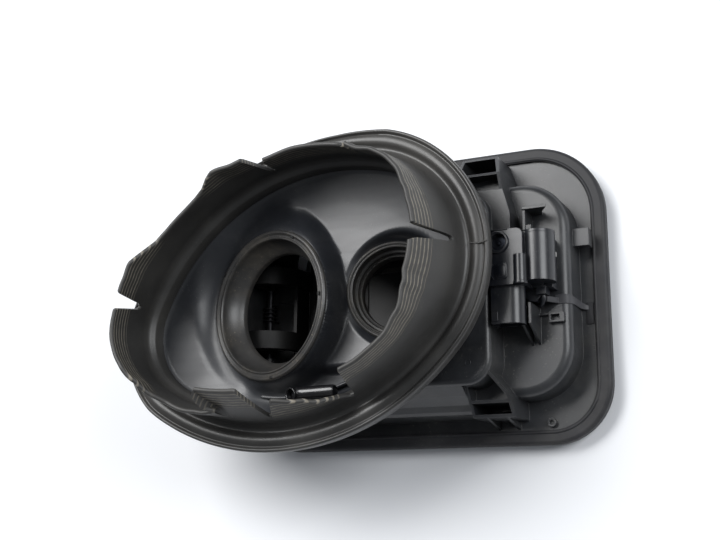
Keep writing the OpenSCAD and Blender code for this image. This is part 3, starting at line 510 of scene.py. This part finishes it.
def ring_in(angle, inset):
    """Shift of the ring's outer part, which fades towards the foot of the wall."""
    return along(RING_IN, angle) * (1 - min(max(inset / RING_FADE, 0), 1))


def bearing(x, y):
    """Direction of a point from the origin, in degrees."""
    return math.degrees(math.atan2(y, x))


def angle_off(a, b):
    """Signed difference of two angles in degrees, from -180 to 180."""
    return (a - b + 180) % 360 - 180


class Skirt:
    """Works out the skirt's section at any place along the oval."""

    def __init__(self, wall):
        self.wall = wall

    @staticmethod
    def wall_inset(z):
        """Inset of the wall's outer side at a height, before it leans."""
        if z < WALL_BEND:
            return mix(15.6, 16.9, (z - WALL_FOOT) / (WALL_BEND - WALL_FOOT))
        return mix(16.9, 20.5, (z - WALL_BEND) / 28.8)

    @staticmethod
    def section():
        """Inset, height, share of the wall's height and inner side for each point of the closed section.

        The three points of the tip have 2, 3 and 4 as their share.
        """
        foot = [
            (6, 72.1), (1.4, 72.1), (0.6, 72.5), (0.4, 73.4), (0.3, 76.6), (0.05, 78.4), (0.1, 79.6),
            (0.5, 80.5), (1.1, 80.8), (1.8, 80.7), (2.3, 80.2), (2.7, 79.5), (3.1, 79.3), (3.6, 79.5),
            (4.4, 80.0), (5.6, 80.4), (7.0, 80.5), (8.3, 80.2), (9.3, 79.5), (10.0, 78.5), (11.0, 77.9),
            (12.2, 78.0), (13.4, 79.2), (14.5, 81.2),
        ]
        points = [(s, z, None, False) for s, z in foot]
        points += [(0, 0, i / 14, False) for i in range(15)]
        points += [(0, 0, 2 + k, False) for k in range(3)]
        points += [(0, 0, 1 - i / 14, True) for i in range(15)]
        points += [(s, z, None, False) for s, z in (
            (18.6, 81.2), (20.0, 79.4), (21.4, 78.6), (22.1, 77.6), (22.2, 72), (21.9, 70.3),
            (21.2, 70.1), (20.9, 70.4),
            (20.9, 76.7), (2.5, 76.7), (2.5, 73.7), (6, 73.7))]
        return points

    def place(self, point, top, lean):
        """Where a point of the section lies once the wall has its real height and lean."""
        s, z, share, inner = point
        if share is None:
            return s, z
        tip = top - TIP_HEIGHT
        if share >= 2:
            s = self.wall_inset(tip) + lean * self.reach(tip) + self.wall * TIP_PLACES[share - 2]
            return s, top - TIP_DROPS[share - 2]
        z = mix(WALL_FOOT, tip, share)
        s = self.wall_inset(z) + lean * self.reach(z)
        return (s + self.wall, z) if inner else (s, z)

    @staticmethod
    def reach(z):
        """Share of the lean that is reached at a height."""
        return max(0.0, (z - LEAN_FOOT) / LEAN_RUN) ** 1.25


class FILLER_OT_skirt(bpy.types.Operator):
    """Builds the ribbed rubber skirt with its slit tabs"""

    bl_idname = "filler.skirt"
    bl_label = "Rubber skirt"

    def execute(self, context):
        skirt = Skirt(context.scene.filler_sizes.skirt_wall / MM)
        section = skirt.section()
        bm = bmesh.new()
        row = bm.verts.layers.int.new("row")
        col = bm.verts.layers.int.new("col")
        depth = bm.verts.layers.float.new("rib_depth")
        mask = bm.verts.layers.float.new("rib_mask")
        stations = self.stations()

        def stand(distance):
            (x, y), radius, angle = oval_station(distance)
            return (Matrix.Translation((x * MM, y * MM, 0)) @ Matrix.Rotation(angle, 4, "Z")
                    @ Matrix.Translation((radius * MM, 0, 0)))

        first = stand(stations[0])
        verts = []
        for i, p in enumerate(section):
            s, z = skirt.place(p, SKIRT_TOP, 0)
            v = bm.verts.new(first @ Vector((-s * MM, 0, z * MM)))
            v[row], v[col] = i, 0
            verts.append(v)
        edges = closed_loop(bm, verts)
        before = first
        for k, distance in enumerate(stations[1:], 1):
            new, edges = extruded(bm, edges)
            now = stand(distance)
            bmesh.ops.transform(bm, matrix=now @ before.inverted(), verts=new)
            for v in new:
                v[col] = k
            before = now
        for v in bm.verts:
            distance = stations[v[col]] % OVAL_LENGTH
            x, y = oval_point(distance, 20)
            angle = bearing(x, y)
            top, inset = along(FREE_EDGE, angle), along(EDGE_INSET, angle, smooth)
            s, z = skirt.place(section[v[row]], top, inset - STRAIGHT_INSET)
            (cx, cy), radius, turn = oval_station(distance)
            s += ring_in(angle, s)
            shear = self.shear(angle, z)
            v.co = Vector((
                (cx + (radius - s) * math.cos(turn) - shear * math.sin(turn)) * MM,
                (cy + (radius - s) * math.sin(turn) + shear * math.cos(turn)) * MM, z * MM))
            full = next((high for start, end, high in LOW_TABS if start < angle < end), SKIRT_TOP)
            v[depth] = full - z
            v[mask] = self.ribbed(angle) if z > 84 else 0
        bmesh.ops.remove_doubles(bm, verts=bm.verts, dist=2e-6)
        bmesh.ops.transform(bm, matrix=bowl_matrix(), verts=bm.verts)
        piece(bm, "rubber_skirt", "dusty skirt rubber", nodes=("gaiter_skirt",), angle=50)
        return {"FINISHED"}

    @staticmethod
    def shear(angle, z):
        """The lower left tab is wider at its free edge than at its foot."""
        if not -131.6 < angle < -112:
            return 0
        return -9 * smooth((z - 96) / 25) * min(1, (-112 - angle) / 18)

    @staticmethod
    def ribbed(angle):
        """1 on a ribbed tab, 0 on the two plain ones."""
        fade = 1.0
        for centre, half in ((125, 15), (-146, 15)):
            fade = min(fade, smooth((abs(angle_off(angle, centre)) - half + 4) / 8))
        return fade

    @staticmethod
    def stations():
        """Distances along the oval, closer together where the free edge is steep."""
        found, distance = [0.0], 0.0
        steep = (-131.3, -113.5, -111.5, -104, -74, -70, -66, -10.5, -7, 36, 38, 78, 81, 102, 163.4, 166.5)
        while True:
            x, y = oval_point(distance % OVAL_LENGTH, 20)
            angle = bearing(x, y)
            near = min(abs(angle_off(angle, a)) for a in steep)
            distance += 0.32 if near < 2.4 else 1.3
            if distance >= OVAL_LENGTH - 0.3:
                break
            found.append(distance)
        return found + [OVAL_LENGTH]


def neck_plane(at, tilt, x):
    """Height of a tilted neck's plane at x."""
    return at[2] - math.tan(math.radians(tilt)) * (x - at[0])


def neck_reach(at, tilt, x, y):
    """Distance of a point on the neck's plane from its axis."""
    return math.hypot((x - at[0]) / math.cos(math.radians(tilt)), y - at[1])


def bowl_surface(u, v):
    """Point of the bowl's smooth floor, in the part's frame, over a place in the bowl's frame."""
    turn = math.radians(BOWL_TURN)
    x = BOWL_AT[0] + u * math.cos(turn) - v * math.sin(turn)
    y = BOWL_AT[1] + u * math.sin(turn) + v * math.cos(turn)
    inset = oval_inset(u, v)
    slope = 1 - min(max((inset - FLOOR_EDGE) / FLOOR_RUN, 0), 1)
    z = FLOOR_Z + (LEDGE_Z - 0.6 - FLOOR_Z) * slope ** 1.8
    # gutter under the drain spout, with soft ends towards the hinge, the middle and the rim
    side = smooth((x + 92) / 26) * smooth((-y - 42.5) / 5.5)
    z -= GUTTER_DEPTH * side * smooth((inset - FLOOR_EDGE) / 7)
    # mound of the fuel neck, steep towards the small neck, and pocket of the small neck
    for at, tilt, ring, slope_widths in (
        (FUEL_AT, FUEL_TILT, FUEL_RING - 0.6, FUEL_SLOPE), (ADD_AT, ADD_TILT, ADD_RING - 0.5, ADD_SLOPE),
    ):
        out = neck_reach(at, tilt, x, y) - ring
        width = along(slope_widths, bearing(x - at[0], y - at[1]))
        z = mix(neck_plane(at, tilt, x) - 0.3, z, smooth(out / width))
    return x, y, z


class FILLER_OT_bowl(bpy.types.Operator):
    """Builds the smooth glossy bowl that joins the rim to both filler necks"""

    bl_idname = "filler.bowl"
    bl_label = "Neck bowl"

    def execute(self, context):
        bm = bmesh.new()
        count = 420
        # heights of the rim and the ledge by inset; further in the rings follow the floor
        heights = {
            2.6: RIM_Z - 0.1, 12: RIM_Z - 0.1, 19: RIM_Z - 0.1, 20.9: RIM_Z - 0.4, 21.0: LEDGE_Z + 0.4,
            21.8: LEDGE_Z,
        }
        insets = [*heights, 22.6, 24, 26, 28.5, 31, 34]
        # the last of these rings is then shrunk to a small hole inside the large neck's opening
        shares = [1 - 0.02 * i for i in range(1, 30)]
        shares += [0.41 - 0.009 * i for i in range(20)] + [0.21 - 0.02 * i for i in range(10)]
        number = bm.verts.layers.int.new("number")
        ring = [bm.verts.new((0, 0, 0)) for _ in range(count)]
        for i, v in enumerate(ring):
            v[number] = i
        edges = closed_loop(bm, ring)
        levels = [(inset, 1) for inset in insets] + [(insets[-1], share) for share in shares]
        for step, (inset, share) in enumerate(levels):
            if step:
                ring, edges = extruded(bm, edges)
            for v in ring:
                place = OVAL_LENGTH * v[number] / count
                x, y = oval_point(place, 20)
                x, y = oval_point(place, inset + ring_in(bearing(x, y), inset))
                x, y, z = bowl_surface(x * share, y * share)
                v.co = Vector((x, y, heights.get(inset, z))) * MM
        self.open_neck(bm, FUEL_AT, FUEL_TILT, FUEL_RING - 3.2)
        self.open_neck(bm, ADD_AT, ADD_TILT, ADD_RING - 2.2)
        loose = [v for v in bm.verts if not v.link_faces]
        bmesh.ops.delete(bm, geom=loose, context="VERTS")
        bmesh.ops.recalc_face_normals(bm, faces=bm.faces)
        if sum(f.normal.z for f in bm.faces) < 0:
            bmesh.ops.reverse_faces(bm, faces=bm.faces)
        obj = piece(
            bm, "neck_bowl_shell", "glossy bowl plastic", nodes=("neck_bowl",), angle=60,
            outward=False
        )
        thicken(obj, BOWL_WALL)
        # plain wall under the floor that stands on the pot
        bm = bmesh.new()
        count = 240
        ring = []
        for i in range(count):
            x, y = oval_point(OVAL_LENGTH * i / count, STAND_INSET)
            ring.append(bm.verts.new((x * MM, y * MM, STAND_FOOT * MM)))
        raised = extruded(bm, closed_loop(bm, ring))[0]
        bmesh.ops.translate(bm, verts=raised, vec=(0, 0, STAND_HEIGHT * MM))
        bmesh.ops.transform(bm, matrix=bowl_matrix(), verts=bm.verts)
        obj = piece(bm, "bowl_standing_wall", "glossy bowl plastic", angle=60)
        thicken(obj, STAND_WALL)
        return {"FINISHED"}

    @staticmethod
    def open_neck(bm, at, tilt, radius):
        """Cuts the hole of a neck and draws its edge onto a true circle."""
        inside = {v for v in bm.verts if neck_reach(at, tilt, v.co.x / MM, v.co.y / MM) < radius}
        gone = [f for f in bm.faces if all(v in inside for v in f.verts)]
        bmesh.ops.delete(bm, geom=gone, context="FACES")
        cos = math.cos(math.radians(tilt))
        for v in bm.verts:
            if v.link_faces and v in inside:
                dx, dy = (v.co.x / MM - at[0]) / cos, v.co.y / MM - at[1]
                grow = radius / max(math.hypot(dx, dy), 1)
                v.co.x, v.co.y = (at[0] + dx * grow * cos) * MM, (at[1] + dy * grow) * MM


class FILLER_OT_seals(bpy.types.Operator):
    """Builds the stepped sealing rings of both filler necks"""

    bl_idname = "filler.seals"
    bl_label = "Neck seals"

    def execute(self, context):
        h, r = FUEL_HOLE, FUEL_BORE
        fuel = turned([
            (h - 1.7, 0.6), (h - 1.9, -1.0), (h - 2.6, -2.6), (r + 4.2, -5.2), (r + 2, -7.7),
            (r + 0.6, -9.3), (r, -10.2), (r, -12.6), (r + 0.4, -13), (r + 1.4, -13), (r + 1.8, -12.4),
            (r + 1.9, -9.6), (h - 0.4, -3.8), (h + 1.2, -3.8), (h + 1.2, -2.2), (h, -2.2), (h, 0),
            (FUEL_RING - 0.5, 0), (FUEL_RING, 0.5), (FUEL_RING - 0.1, 1.6), (FUEL_RING - 0.8, 2.4),
            (FUEL_RING - 1.7, 2.5), (FUEL_RING - 2.4, 2.0), (FUEL_RING - 2.9, 1.6), (h - 0.1, 1.6),
            (h - 0.5, 2.3), (h - 1.1, 2.3), (h - 1.6, 1.6),
        ], neck_matrix(FUEL_AT, FUEL_TILT), 128)
        piece(fuel, "fuel_neck_ring", "seal rubber", nodes=("fuel_neck_seal",), angle=35)
        h, r = ADD_HOLE, ADD_BORE
        small = turned([
            (h - 1.4, 0.9), (h - 1.5, -2.0), (h - 1.9, -2.6), (r + 2.4, -2.7), (r + 2.0, -3.2),
            (r + 1.9, -5.4), (r + 1.5, -5.3), (r + 0.6, -5.1), (r + 0.1, -5.7), (r, -6.6), (r, -11.6),
            (r + 0.4, -12), (r + 1.6, -12), (r + 1.7, -7.6), (r + 3.6, -7.6), (r + 3.6, -4.2),
            (h + 1.2, -4.2), (h + 1.2, -2.2), (h, -2.2), (h, 0), (ADD_RING - 0.3, 0), (ADD_RING, 0.4),
            (ADD_RING - 0.1, 1.5), (ADD_RING - 0.8, 2.2), (ADD_RING - 1.5, 2.1), (ADD_RING - 1.9, 1.5),
            (h - 0.1, 1.4), (h - 0.5, 2.1), (h - 1.1, 1.9),
        ], neck_matrix(ADD_AT, ADD_TILT), 112)
        piece(
            small, "additive_neck_ring", "seal rubber", nodes=("additive_neck_seal",),
            angle=35
        )
        # four moulded nibs on the fuel ring
        nibs = []
        for angle, reach in ((148, 42.6), (64, 41.2), (2, 39.2), (-84, 42.2)):
            nib = slab(box_outline(-0.7, -1.2, 0.7, 1.2, 0.3), -0.2, 1.3, "Z", 0.15, 1)
            around = neck_matrix(FUEL_AT, FUEL_TILT) @ Matrix.Rotation(math.radians(angle), 4, "Z")
            spot = around @ Matrix.Translation((reach, 0, 1.4))
            bmesh.ops.transform(nib, matrix=in_metres(spot), verts=nib.verts)
            nibs.append(nib)
        piece(joined(nibs), "fuel_ring_nibs", "deep black plastic and painted shade")
        return {"FINISHED"}


class FILLER_OT_spout(bpy.types.Operator):
    """Builds the drain spout with its flared open end"""

    bl_idname = "filler.spout"
    bl_label = "Drain spout"

    def execute(self, context):
        # the tube runs along X and turns up at its far end
        body = rod([
            (-25.2, -58.5, 70.8), (-25.6, -58.5, 70.8), (-27, -58.5, 70.9), (-38, -58.6, 71),
            (-44.5, -58.8, 71), (-47.6, -59.0, 71.4), (-49.2, -59.2, 72.4), (-49.9, -59.4, 73.4),
        ], [2.6, 3.4, 3.7, 3.6, 3.6, 3.6, 3.5, 2.9], 28)
        lean = Matrix.Rotation(math.radians(-16), 4, "Y") @ Matrix.Rotation(math.radians(8), 4, "X")
        mouth = turned([
            (2.5, -3), (3.5, -3), (3.55, 0.6), (3.7, 1.6), (3.95, 2.3), (3.8, 2.7), (3.3, 2.75),
            (2.95, 2.4), (2.8, 1.4), (2.75, -1),
        ], Matrix.Translation((-50.2, -59.5, 73.2)) @ lean, 48)
        piece(
            joined([body, mouth]), "drain_tube", "glossy black plastic",
            nodes=("drain_spout",), angle=45
        )
        return {"FINISHED"}


class FILLER_OT_release(bpy.types.Operator):
    """Builds the emergency release rod and its flat strap"""

    bl_idname = "filler.release"
    bl_label = "Release rod and strap"

    def execute(self, context):
        bar = rod([
            (84.3, -4.7, 41.5), (84.3, -9.6, 41.5), (84.2, -10.8, 41.4), (83.7, -12.0, 40.9),
            (82.9, -13.2, 39.8), (82.2, -14.0, 38.9), (82.0, -14.2, 38.6),
        ], [1.45, 1.5, 1.55, 1.5, 1.4, 1.25, 0.7])
        piece(
            bar, "release_bar", "blue-black lock plastic", "release",
            nodes=("release_rod",)
        )
        # the strap's upper and lower edges along its run: x, z, lower y, upper y
        run = [
            (88.6, 34.5, -12.4, -7.8), (91.6, 34.5, -12.6, -7.4), (92.6, 34.45, -12.6, -7.4),
            (94.6, 34.1, -12.6, -7.5), (96.2, 33.0, -12.6, -7.6), (97.2, 31.2, -12.6, -7.8),
            (97.6, 28.6, -12.5, -8.0), (97.9, 20, -12.4, -8.3), (98.3, 14.6, -12.4, -8.8),
            (99.4, 12.4, -12.5, -9.4), (101.2, 11.3, -12.5, -10.2), (103.0, 11.0, -12.55, -11.2),
            (104.1, 10.95, -12.6, -12.2),
        ]
        band = bmesh.new()
        edge = None
        for x, z, low, high in run:
            pair = [band.verts.new((x * MM, y * MM, z * MM)) for y in (low, high)]
            new = band.edges.new(pair)
            if edge:
                bmesh.ops.bridge_loops(band, edges=[edge, new])
            edge = new
        bmesh.ops.recalc_face_normals(band, faces=band.faces)
        bmesh.ops.solidify(band, geom=band.faces, thickness=0.85 * MM)
        riser = slab(
            [(85.5, 40.9), (86.5, 41.0), (90.4, 34.8), (90.4, 34.3), (89.2, 34.3)], -12.4, -9.3, "Y",
            0.15, 2
        )
        piece(
            joined([band, riser]), "release_band", "strap plastic", "release",
            nodes=("release_strap",), angle=35
        )
        return {"FINISHED"}


class FILLER_OT_lock_details(bpy.types.Operator):
    """Adds the fine forms of the electric lock: ring, ribs, sleeve rim, latches and plug socket lip"""

    bl_idname = "filler.lock_details"
    bl_label = "Lock details"

    def execute(self, context):
        up = Matrix.Translation((66.1, 17.4, 0))
        ring = turned(
            [(4.4, 61.2), (4.5, 63.1), (4.9, 63.5), (5.7, 63.5), (6.15, 63.0), (6.2, 61.2)], up, 56
        )
        piece(ring, "screw_ring", "blue-black lock plastic")
        disc = turned([
            (0.01, 60.9), (0.9, 60.8), (1.2, 60.4), (1.3, 59.8), (3.9, 59.7), (4.2, 59.4), (4.2, 58.9),
            (0.01, 58.9),
        ], up, 40)
        piece(disc, "screw_head", "steel blue plate")
        button = box_outline(64.2, -2.8, 71.0, 6.2, 1.6)
        pad = slab(button, 61.6, 62.5, "Z", 0.3, 3)
        inner = slab(box_outline(65.6, -1.4, 69.6, 4.8, 1.1), 62.2, 62.9, "Z", 0.25, 3)
        rib = slab(
            arc(66.6, 1.6, 5.6, 130, 232, 12) + arc(66.6, 1.6, 4.8, 232, 130, 12), 61.6, 62.7, "Z", 0.15,
            2
        )
        brim = slab(arc(77.4, 60, 4.0, 0, 180, 14), -6.0, -4.4, "Y", 0.2, 2)
        rail = slab(
            [(60.3, 21.4), (60.9, 21.4), (60.9, 24.0), (71.5, 24.0), (71.5, 24.4), (60.3, 24.4)], 61.8,
            62.7, "Z", 0.12, 1
        )
        piece(
            joined([pad, inner, rib, brim, rail]), "cover_forms", "blue-black lock plastic",
        )
        catches = [
            slab(box_outline(91.2, 10.8, 93.0, 13.6, 0.4), 43.6, 46.4, "Z", 0.2, 2),
            slab(box_outline(89.4, 7.6, 91.2, 10.0, 0.4), 43.4, 46.0, "Z", 0.2, 2),
        ]
        piece(joined(catches), "cradle_catches", "grey clip plastic")
        # lip around the mouth of the plug socket, open in the middle, and the square patch beside it
        loop = [(60.6, 46.5), (71.2, 46.5), *arc(71.1, 53, 6.5, -85, 85, 16), (71.1, 59.5), (60.6, 59.5)]
        lip = slab(loop, -26.05, -24.9, "Y", 0.2, 2)
        hole = [f for f in lip.faces if f.normal.y < -0.9]
        bmesh.ops.inset_region(lip, faces=hole, thickness=0.85 * MM, depth=0)
        bmesh.ops.delete(
            lip, geom=[f for f in lip.faces if abs(f.normal.y) > 0.9 and f.calc_area() > 60e-6],
            context="FACES"
        )
        piece(lip, "socket_lip", "blue-black lock plastic")
        patch = slab(box_outline(61.0, -24.6, 64.6, -19.8, 0.3), 59.7, 60.3, "Z", 0.12, 1)
        piece(patch, "socket_patch", "blue-black lock plastic")
        return {"FINISHED"}


class FILLER_OT_flange_details(bpy.types.Operator):
    """Adds the small moulded marks of the flange and the pot"""

    bl_idname = "filler.flange_details"
    bl_label = "Flange and pot marks"

    def execute(self, context):
        pad = slab(box_outline(99.9, -20.6, 103.9, -8.2, 0.5), 10.4, 11.3, "Z", 0.3, 2)
        piece(pad, "flange_pad", "matt edge rubber")
        marks = [
            turned(
                [(1.3, 56.6), (1.3, 57.12), (1.6, 57.2), (1.9, 57.12), (1.9, 56.6)],
                Matrix.Translation((46.1, -45.2, 0)), 28
            ),
            turned(
                [(1.2, 10.4), (1.2, 12.9), (1.6, 13.1), (2.4, 13.0), (2.6, 12.6), (2.6, 10.4)],
                Matrix.Translation((78.5, -74, 0)), 28
            ),
        ]
        seam = rod([(56.5, 14, 80), (61.5, 13, 80.5), (66.5, 14, 81)], [0.35, 0.5, 0.4], 10)
        piece(seam, "ring_seam", "dusty skirt rubber")
        piece(joined(marks), "ejector_marks", "grained housing plastic")
        lids = slab(box_outline(-26, -10, 12, 24, 4), PANEL_TOP - 0.3, PANEL_TOP + 1.6, "Z", 0.5, 3)
        # a thin black sheet just above the panel and wider than the island: painted shade along the
        # island's edge
        shade_band = slab(box_outline(-29, -13, 14.5, 27, 5.5), PANEL_TOP - 0.3, PANEL_TOP + 0.12, "Z", 0, 1)
        piece(lids, "panel_island", "seal rubber", "flap")
        piece(shade_band, "panel_groove", "deep black plastic and painted shade", "flap")
        return {"FINISHED"}


class FILLER_OT_finishes(bpy.types.Operator):
    """Makes every finish and gives it to the frame's own nodes"""

    bl_idname = "filler.finishes"
    bl_label = "Finishes"

    def execute(self, context):
        c = context.scene.filler_colours
        moulded("grained housing plastic", c.housing, 0.37, 1500.0, 0.00005, 0.55, 0.0005, specular=0.5)
        moulded("matt edge rubber", c.edge, 0.52, 2200.0, 0.00004, 0.40, 0.0004, specular=0.28)
        worn_seal("seal rubber", c.seal)
        # the darkest black: on the clips in their cells, on the flap's inner panel inside the pot and on
        # the band around its island it is painted shade
        moulded("deep black plastic and painted shade", (0.005, 0.005, 0.005), 0.5, 1500.0, 0.00006, 0.15)
        moulded("grey clip plastic", (0.20, 0.20, 0.19), 0.5, 1500.0, 0.00005, 0.3)
        moulded("strap plastic", (0.035, 0.035, 0.038), 0.5, 1800.0, 0.00005, 0.5)
        moulded("gear plastic", (0.70, 0.67, 0.60), 0.42, 1300.0, 0.00004, 0.1, 0.0002)
        ribbed_rubber("dusty skirt rubber", c.skirt, (0.20, 0.18, 0.145))
        polished("glossy bowl plastic", c.bowl, 0.36, 0.35)
        polished("glossy black plastic", (0.006, 0.006, 0.007), 0.2, 0.12)
        polished("blue-black lock plastic", c.lock, 0.31, 0.30, 0.06, 0.0004)
        polished("flap paint primer", (0.045, 0.046, 0.05), 0.3, 0.2, 0.06)
        metal("plated motor can", (0.50, 0.51, 0.53), 0.35)
        metal("dark spring steel", (0.07, 0.07, 0.075), 0.45)
        metal("steel blue plate", (0.055, 0.06, 0.075), 0.35)
        metal("turned brass", (0.72, 0.56, 0.26), 0.3)
        metal("tinned contact", (0.66, 0.62, 0.50), 0.28)
        worn = {
            "grained housing plastic": ("filler_pot",),
            "matt edge rubber": ("edge_seal",),
            "seal rubber": (
                "fuel_neck_seal", "additive_neck_seal", "left_buffer", "right_buffer", "lock_pin_seal",
            ),
            "flap paint primer": ("flap_skin",),
            # clips in their cells and inner panel inside the pot: darkened as painted shade
            "deep black plastic and painted shade": ("upper_body_clip", "lower_body_clip", "flap_inner_panel"),
            "blue-black lock plastic": ("actuator_housing", "actuator_cover", "motor_cap"),
            "plated motor can": ("actuator_motor",),
            "turned brass": ("motor_pinion",),
            "gear plastic": ("drive_wheel", "lock_pin"),
            "dark spring steel": ("hinge_pin", "hinge_spring", "housing_screw"),
            "tinned contact": ("connector_terminals",),
            "strap plastic": ("release_rod", "release_strap"),
            "glossy bowl plastic": ("neck_bowl",),
            "glossy black plastic": ("drain_spout",),
            "dusty skirt rubber": ("gaiter_skirt",),
        }
        for finish, nodes in worn.items():
            for node in nodes:
                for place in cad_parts[node].material_slots:
                    place.material = bpy.data.materials[finish]
        return {"FINISHED"}


class FILLER_OT_stage(bpy.types.Operator):
    """Sets the pale floor, the soft light and the camera"""

    bl_idname = "filler.stage"
    bl_label = "Stage"

    def execute(self, context):
        scene = context.scene
        look = scene.filler_stage
        bm = bmesh.new()
        bmesh.ops.create_grid(bm, x_segments=8, y_segments=8, size=3.0)
        mesh = bpy.data.meshes.new("pale_floor")
        bm.to_mesh(mesh)
        bm.free()
        floor = bpy.data.objects.new("pale_floor", mesh)
        scene.collection.objects.link(floor)
        f = Finish("pale floor", 0.9, 0.1)
        f.feed("Base Color", f.shades(f.noise(6.0, 2.0, 0.5), look.floor, 1, 0.96))
        mesh.materials.append(f.material)
        world = scene.world or bpy.data.worlds.new("studio")
        scene.world = world
        world.use_nodes = True
        back = next(n for n in world.node_tree.nodes if n.type == "BACKGROUND")
        back.inputs["Color"].default_value = (0.86, 0.90, 0.96, 1)
        back.inputs["Strength"].default_value = look.sky
        lamps = (
            ("overhead", (-0.56, 0.62, 1.28), 1.0, 0.85, look.overhead, (1.0, 1.0, 1.0)),
            ("side", (1.05, 0.30, 0.92), 0.6, 0.8, look.side, (0.96, 0.98, 1.0)),
        )
        for name, at, wide, high, power, tint in lamps:
            lamp = bpy.data.lights.new(name, "AREA")
            lamp.shape, lamp.size, lamp.size_y = "RECTANGLE", wide, high
            lamp.energy, lamp.color = power, tint
            obj = bpy.data.objects.new(name, lamp)
            obj.location = at
            aim = Vector((0, 0, 0.05)) - Vector(at)
            obj.rotation_euler = aim.to_track_quat("-Z", "Y").to_euler()
            scene.collection.objects.link(obj)
        scene.view_settings.view_transform = "Standard"
        camera = bpy.data.cameras.new("camera")
        camera.lens, camera.sensor_width = CAMERA_LENS, CAMERA_SENSOR
        camera.clip_start, camera.clip_end = 0.01, 50
        obj = bpy.data.objects.new("camera", camera)
        ahead, up = Vector(CAMERA_AHEAD), Vector(CAMERA_UP)
        turn = Matrix((ahead.cross(up), up, -ahead)).transposed().to_4x4()
        turn.translation = Vector(CAMERA_AT) * MM
        obj.matrix_world = turn
        scene.collection.objects.link(obj)
        scene.camera = obj
        return {"FINISHED"}


class FillerColours(bpy.types.PropertyGroup):
    """Colours of the main finishes"""

    housing: bpy.props.FloatVectorProperty(
        name="Housing", description="Grained plastic of pot and flange", subtype="COLOR", size=3, min=0,
        max=1, default=(0.013, 0.0138, 0.0155)
    )
    edge: bpy.props.FloatVectorProperty(
        name="Edge", description="Soft edge around the flange", subtype="COLOR", size=3, min=0, max=1,
        default=(0.017, 0.017, 0.019)
    )
    skirt: bpy.props.FloatVectorProperty(
        name="Skirt", description="Rubber of the skirt", subtype="COLOR", size=3, min=0, max=1,
        default=(0.032, 0.0312, 0.0298)
    )
    seal: bpy.props.FloatVectorProperty(
        name="Seals", description="Rubber of the neck seals", subtype="COLOR", size=3, min=0, max=1,
        default=(0.027, 0.0265, 0.026)
    )
    bowl: bpy.props.FloatVectorProperty(
        name="Bowl", description="Glossy plastic of the bowl", subtype="COLOR", size=3, min=0, max=1,
        default=(0.014, 0.0155, 0.019)
    )
    lock: bpy.props.FloatVectorProperty(
        name="Lock", description="Plastic of the electric lock", subtype="COLOR", size=3, min=0, max=1,
        default=(0.005, 0.006, 0.009)
    )


class FillerSizes(bpy.types.PropertyGroup):
    """Sizes of the soft parts"""

    skirt_wall: bpy.props.FloatProperty(
        name="Skirt wall", description="Thickness of the skirt's wall", unit="LENGTH", min=0.0015,
        max=0.003, default=0.0025
    )


class FillerStage(bpy.types.PropertyGroup):
    """Floor and light"""

    floor: bpy.props.FloatVectorProperty(
        name="Floor", description="Colour of the floor", subtype="COLOR", size=3, min=0, max=1,
        default=(0.78, 0.79, 0.81)
    )
    sky: bpy.props.FloatProperty(
        name="Sky", description="Strength of the even light from all around", min=0, max=3, default=0.26
    )
    overhead: bpy.props.FloatProperty(
        name="Overhead", description="Power of the overhead lamp", subtype="POWER", unit="POWER", min=0,
        max=200, default=30
    )
    side: bpy.props.FloatProperty(
        name="Side", description="Power of the side lamp", subtype="POWER", unit="POWER", min=0, max=200,
        default=13
    )


class FILLER_PT_panel(bpy.types.Panel):
    """Lists the steps and their settings"""

    bl_label = "Filler housing"
    bl_idname = "FILLER_PT_panel"
    bl_space_type = "VIEW_3D"
    bl_region_type = "UI"
    bl_category = "Filler housing"

    def draw(self, context):
        scene = context.scene
        for group in (scene.filler_colours, scene.filler_sizes, scene.filler_stage):
            for name in group.__annotations__:
                self.layout.prop(group, name)
        for step in STEPS:
            self.layout.operator(step.bl_idname)


STEPS = (
    FILLER_OT_stage, FILLER_OT_finishes, FILLER_OT_skirt, FILLER_OT_bowl, FILLER_OT_seals, FILLER_OT_spout,
    FILLER_OT_release, FILLER_OT_lock_details, FILLER_OT_flange_details,
)
CLASSES = (FillerColours, FillerSizes, FillerStage, *STEPS, FILLER_PT_panel)


def register():
    for cls in CLASSES:
        bpy.utils.register_class(cls)
    bpy.types.Scene.filler_colours = bpy.props.PointerProperty(type=FillerColours)
    bpy.types.Scene.filler_sizes = bpy.props.PointerProperty(type=FillerSizes)
    bpy.types.Scene.filler_stage = bpy.props.PointerProperty(type=FillerStage)


def unregister():
    del bpy.types.Scene.filler_colours, bpy.types.Scene.filler_sizes, bpy.types.Scene.filler_stage
    for cls in reversed(CLASSES):
        bpy.utils.unregister_class(cls)


def main():
    register()
    for step in STEPS:
        group, name = step.bl_idname.split(".")
        getattr(getattr(bpy.ops, group), name)()


if __name__ == "__main__":
    main()
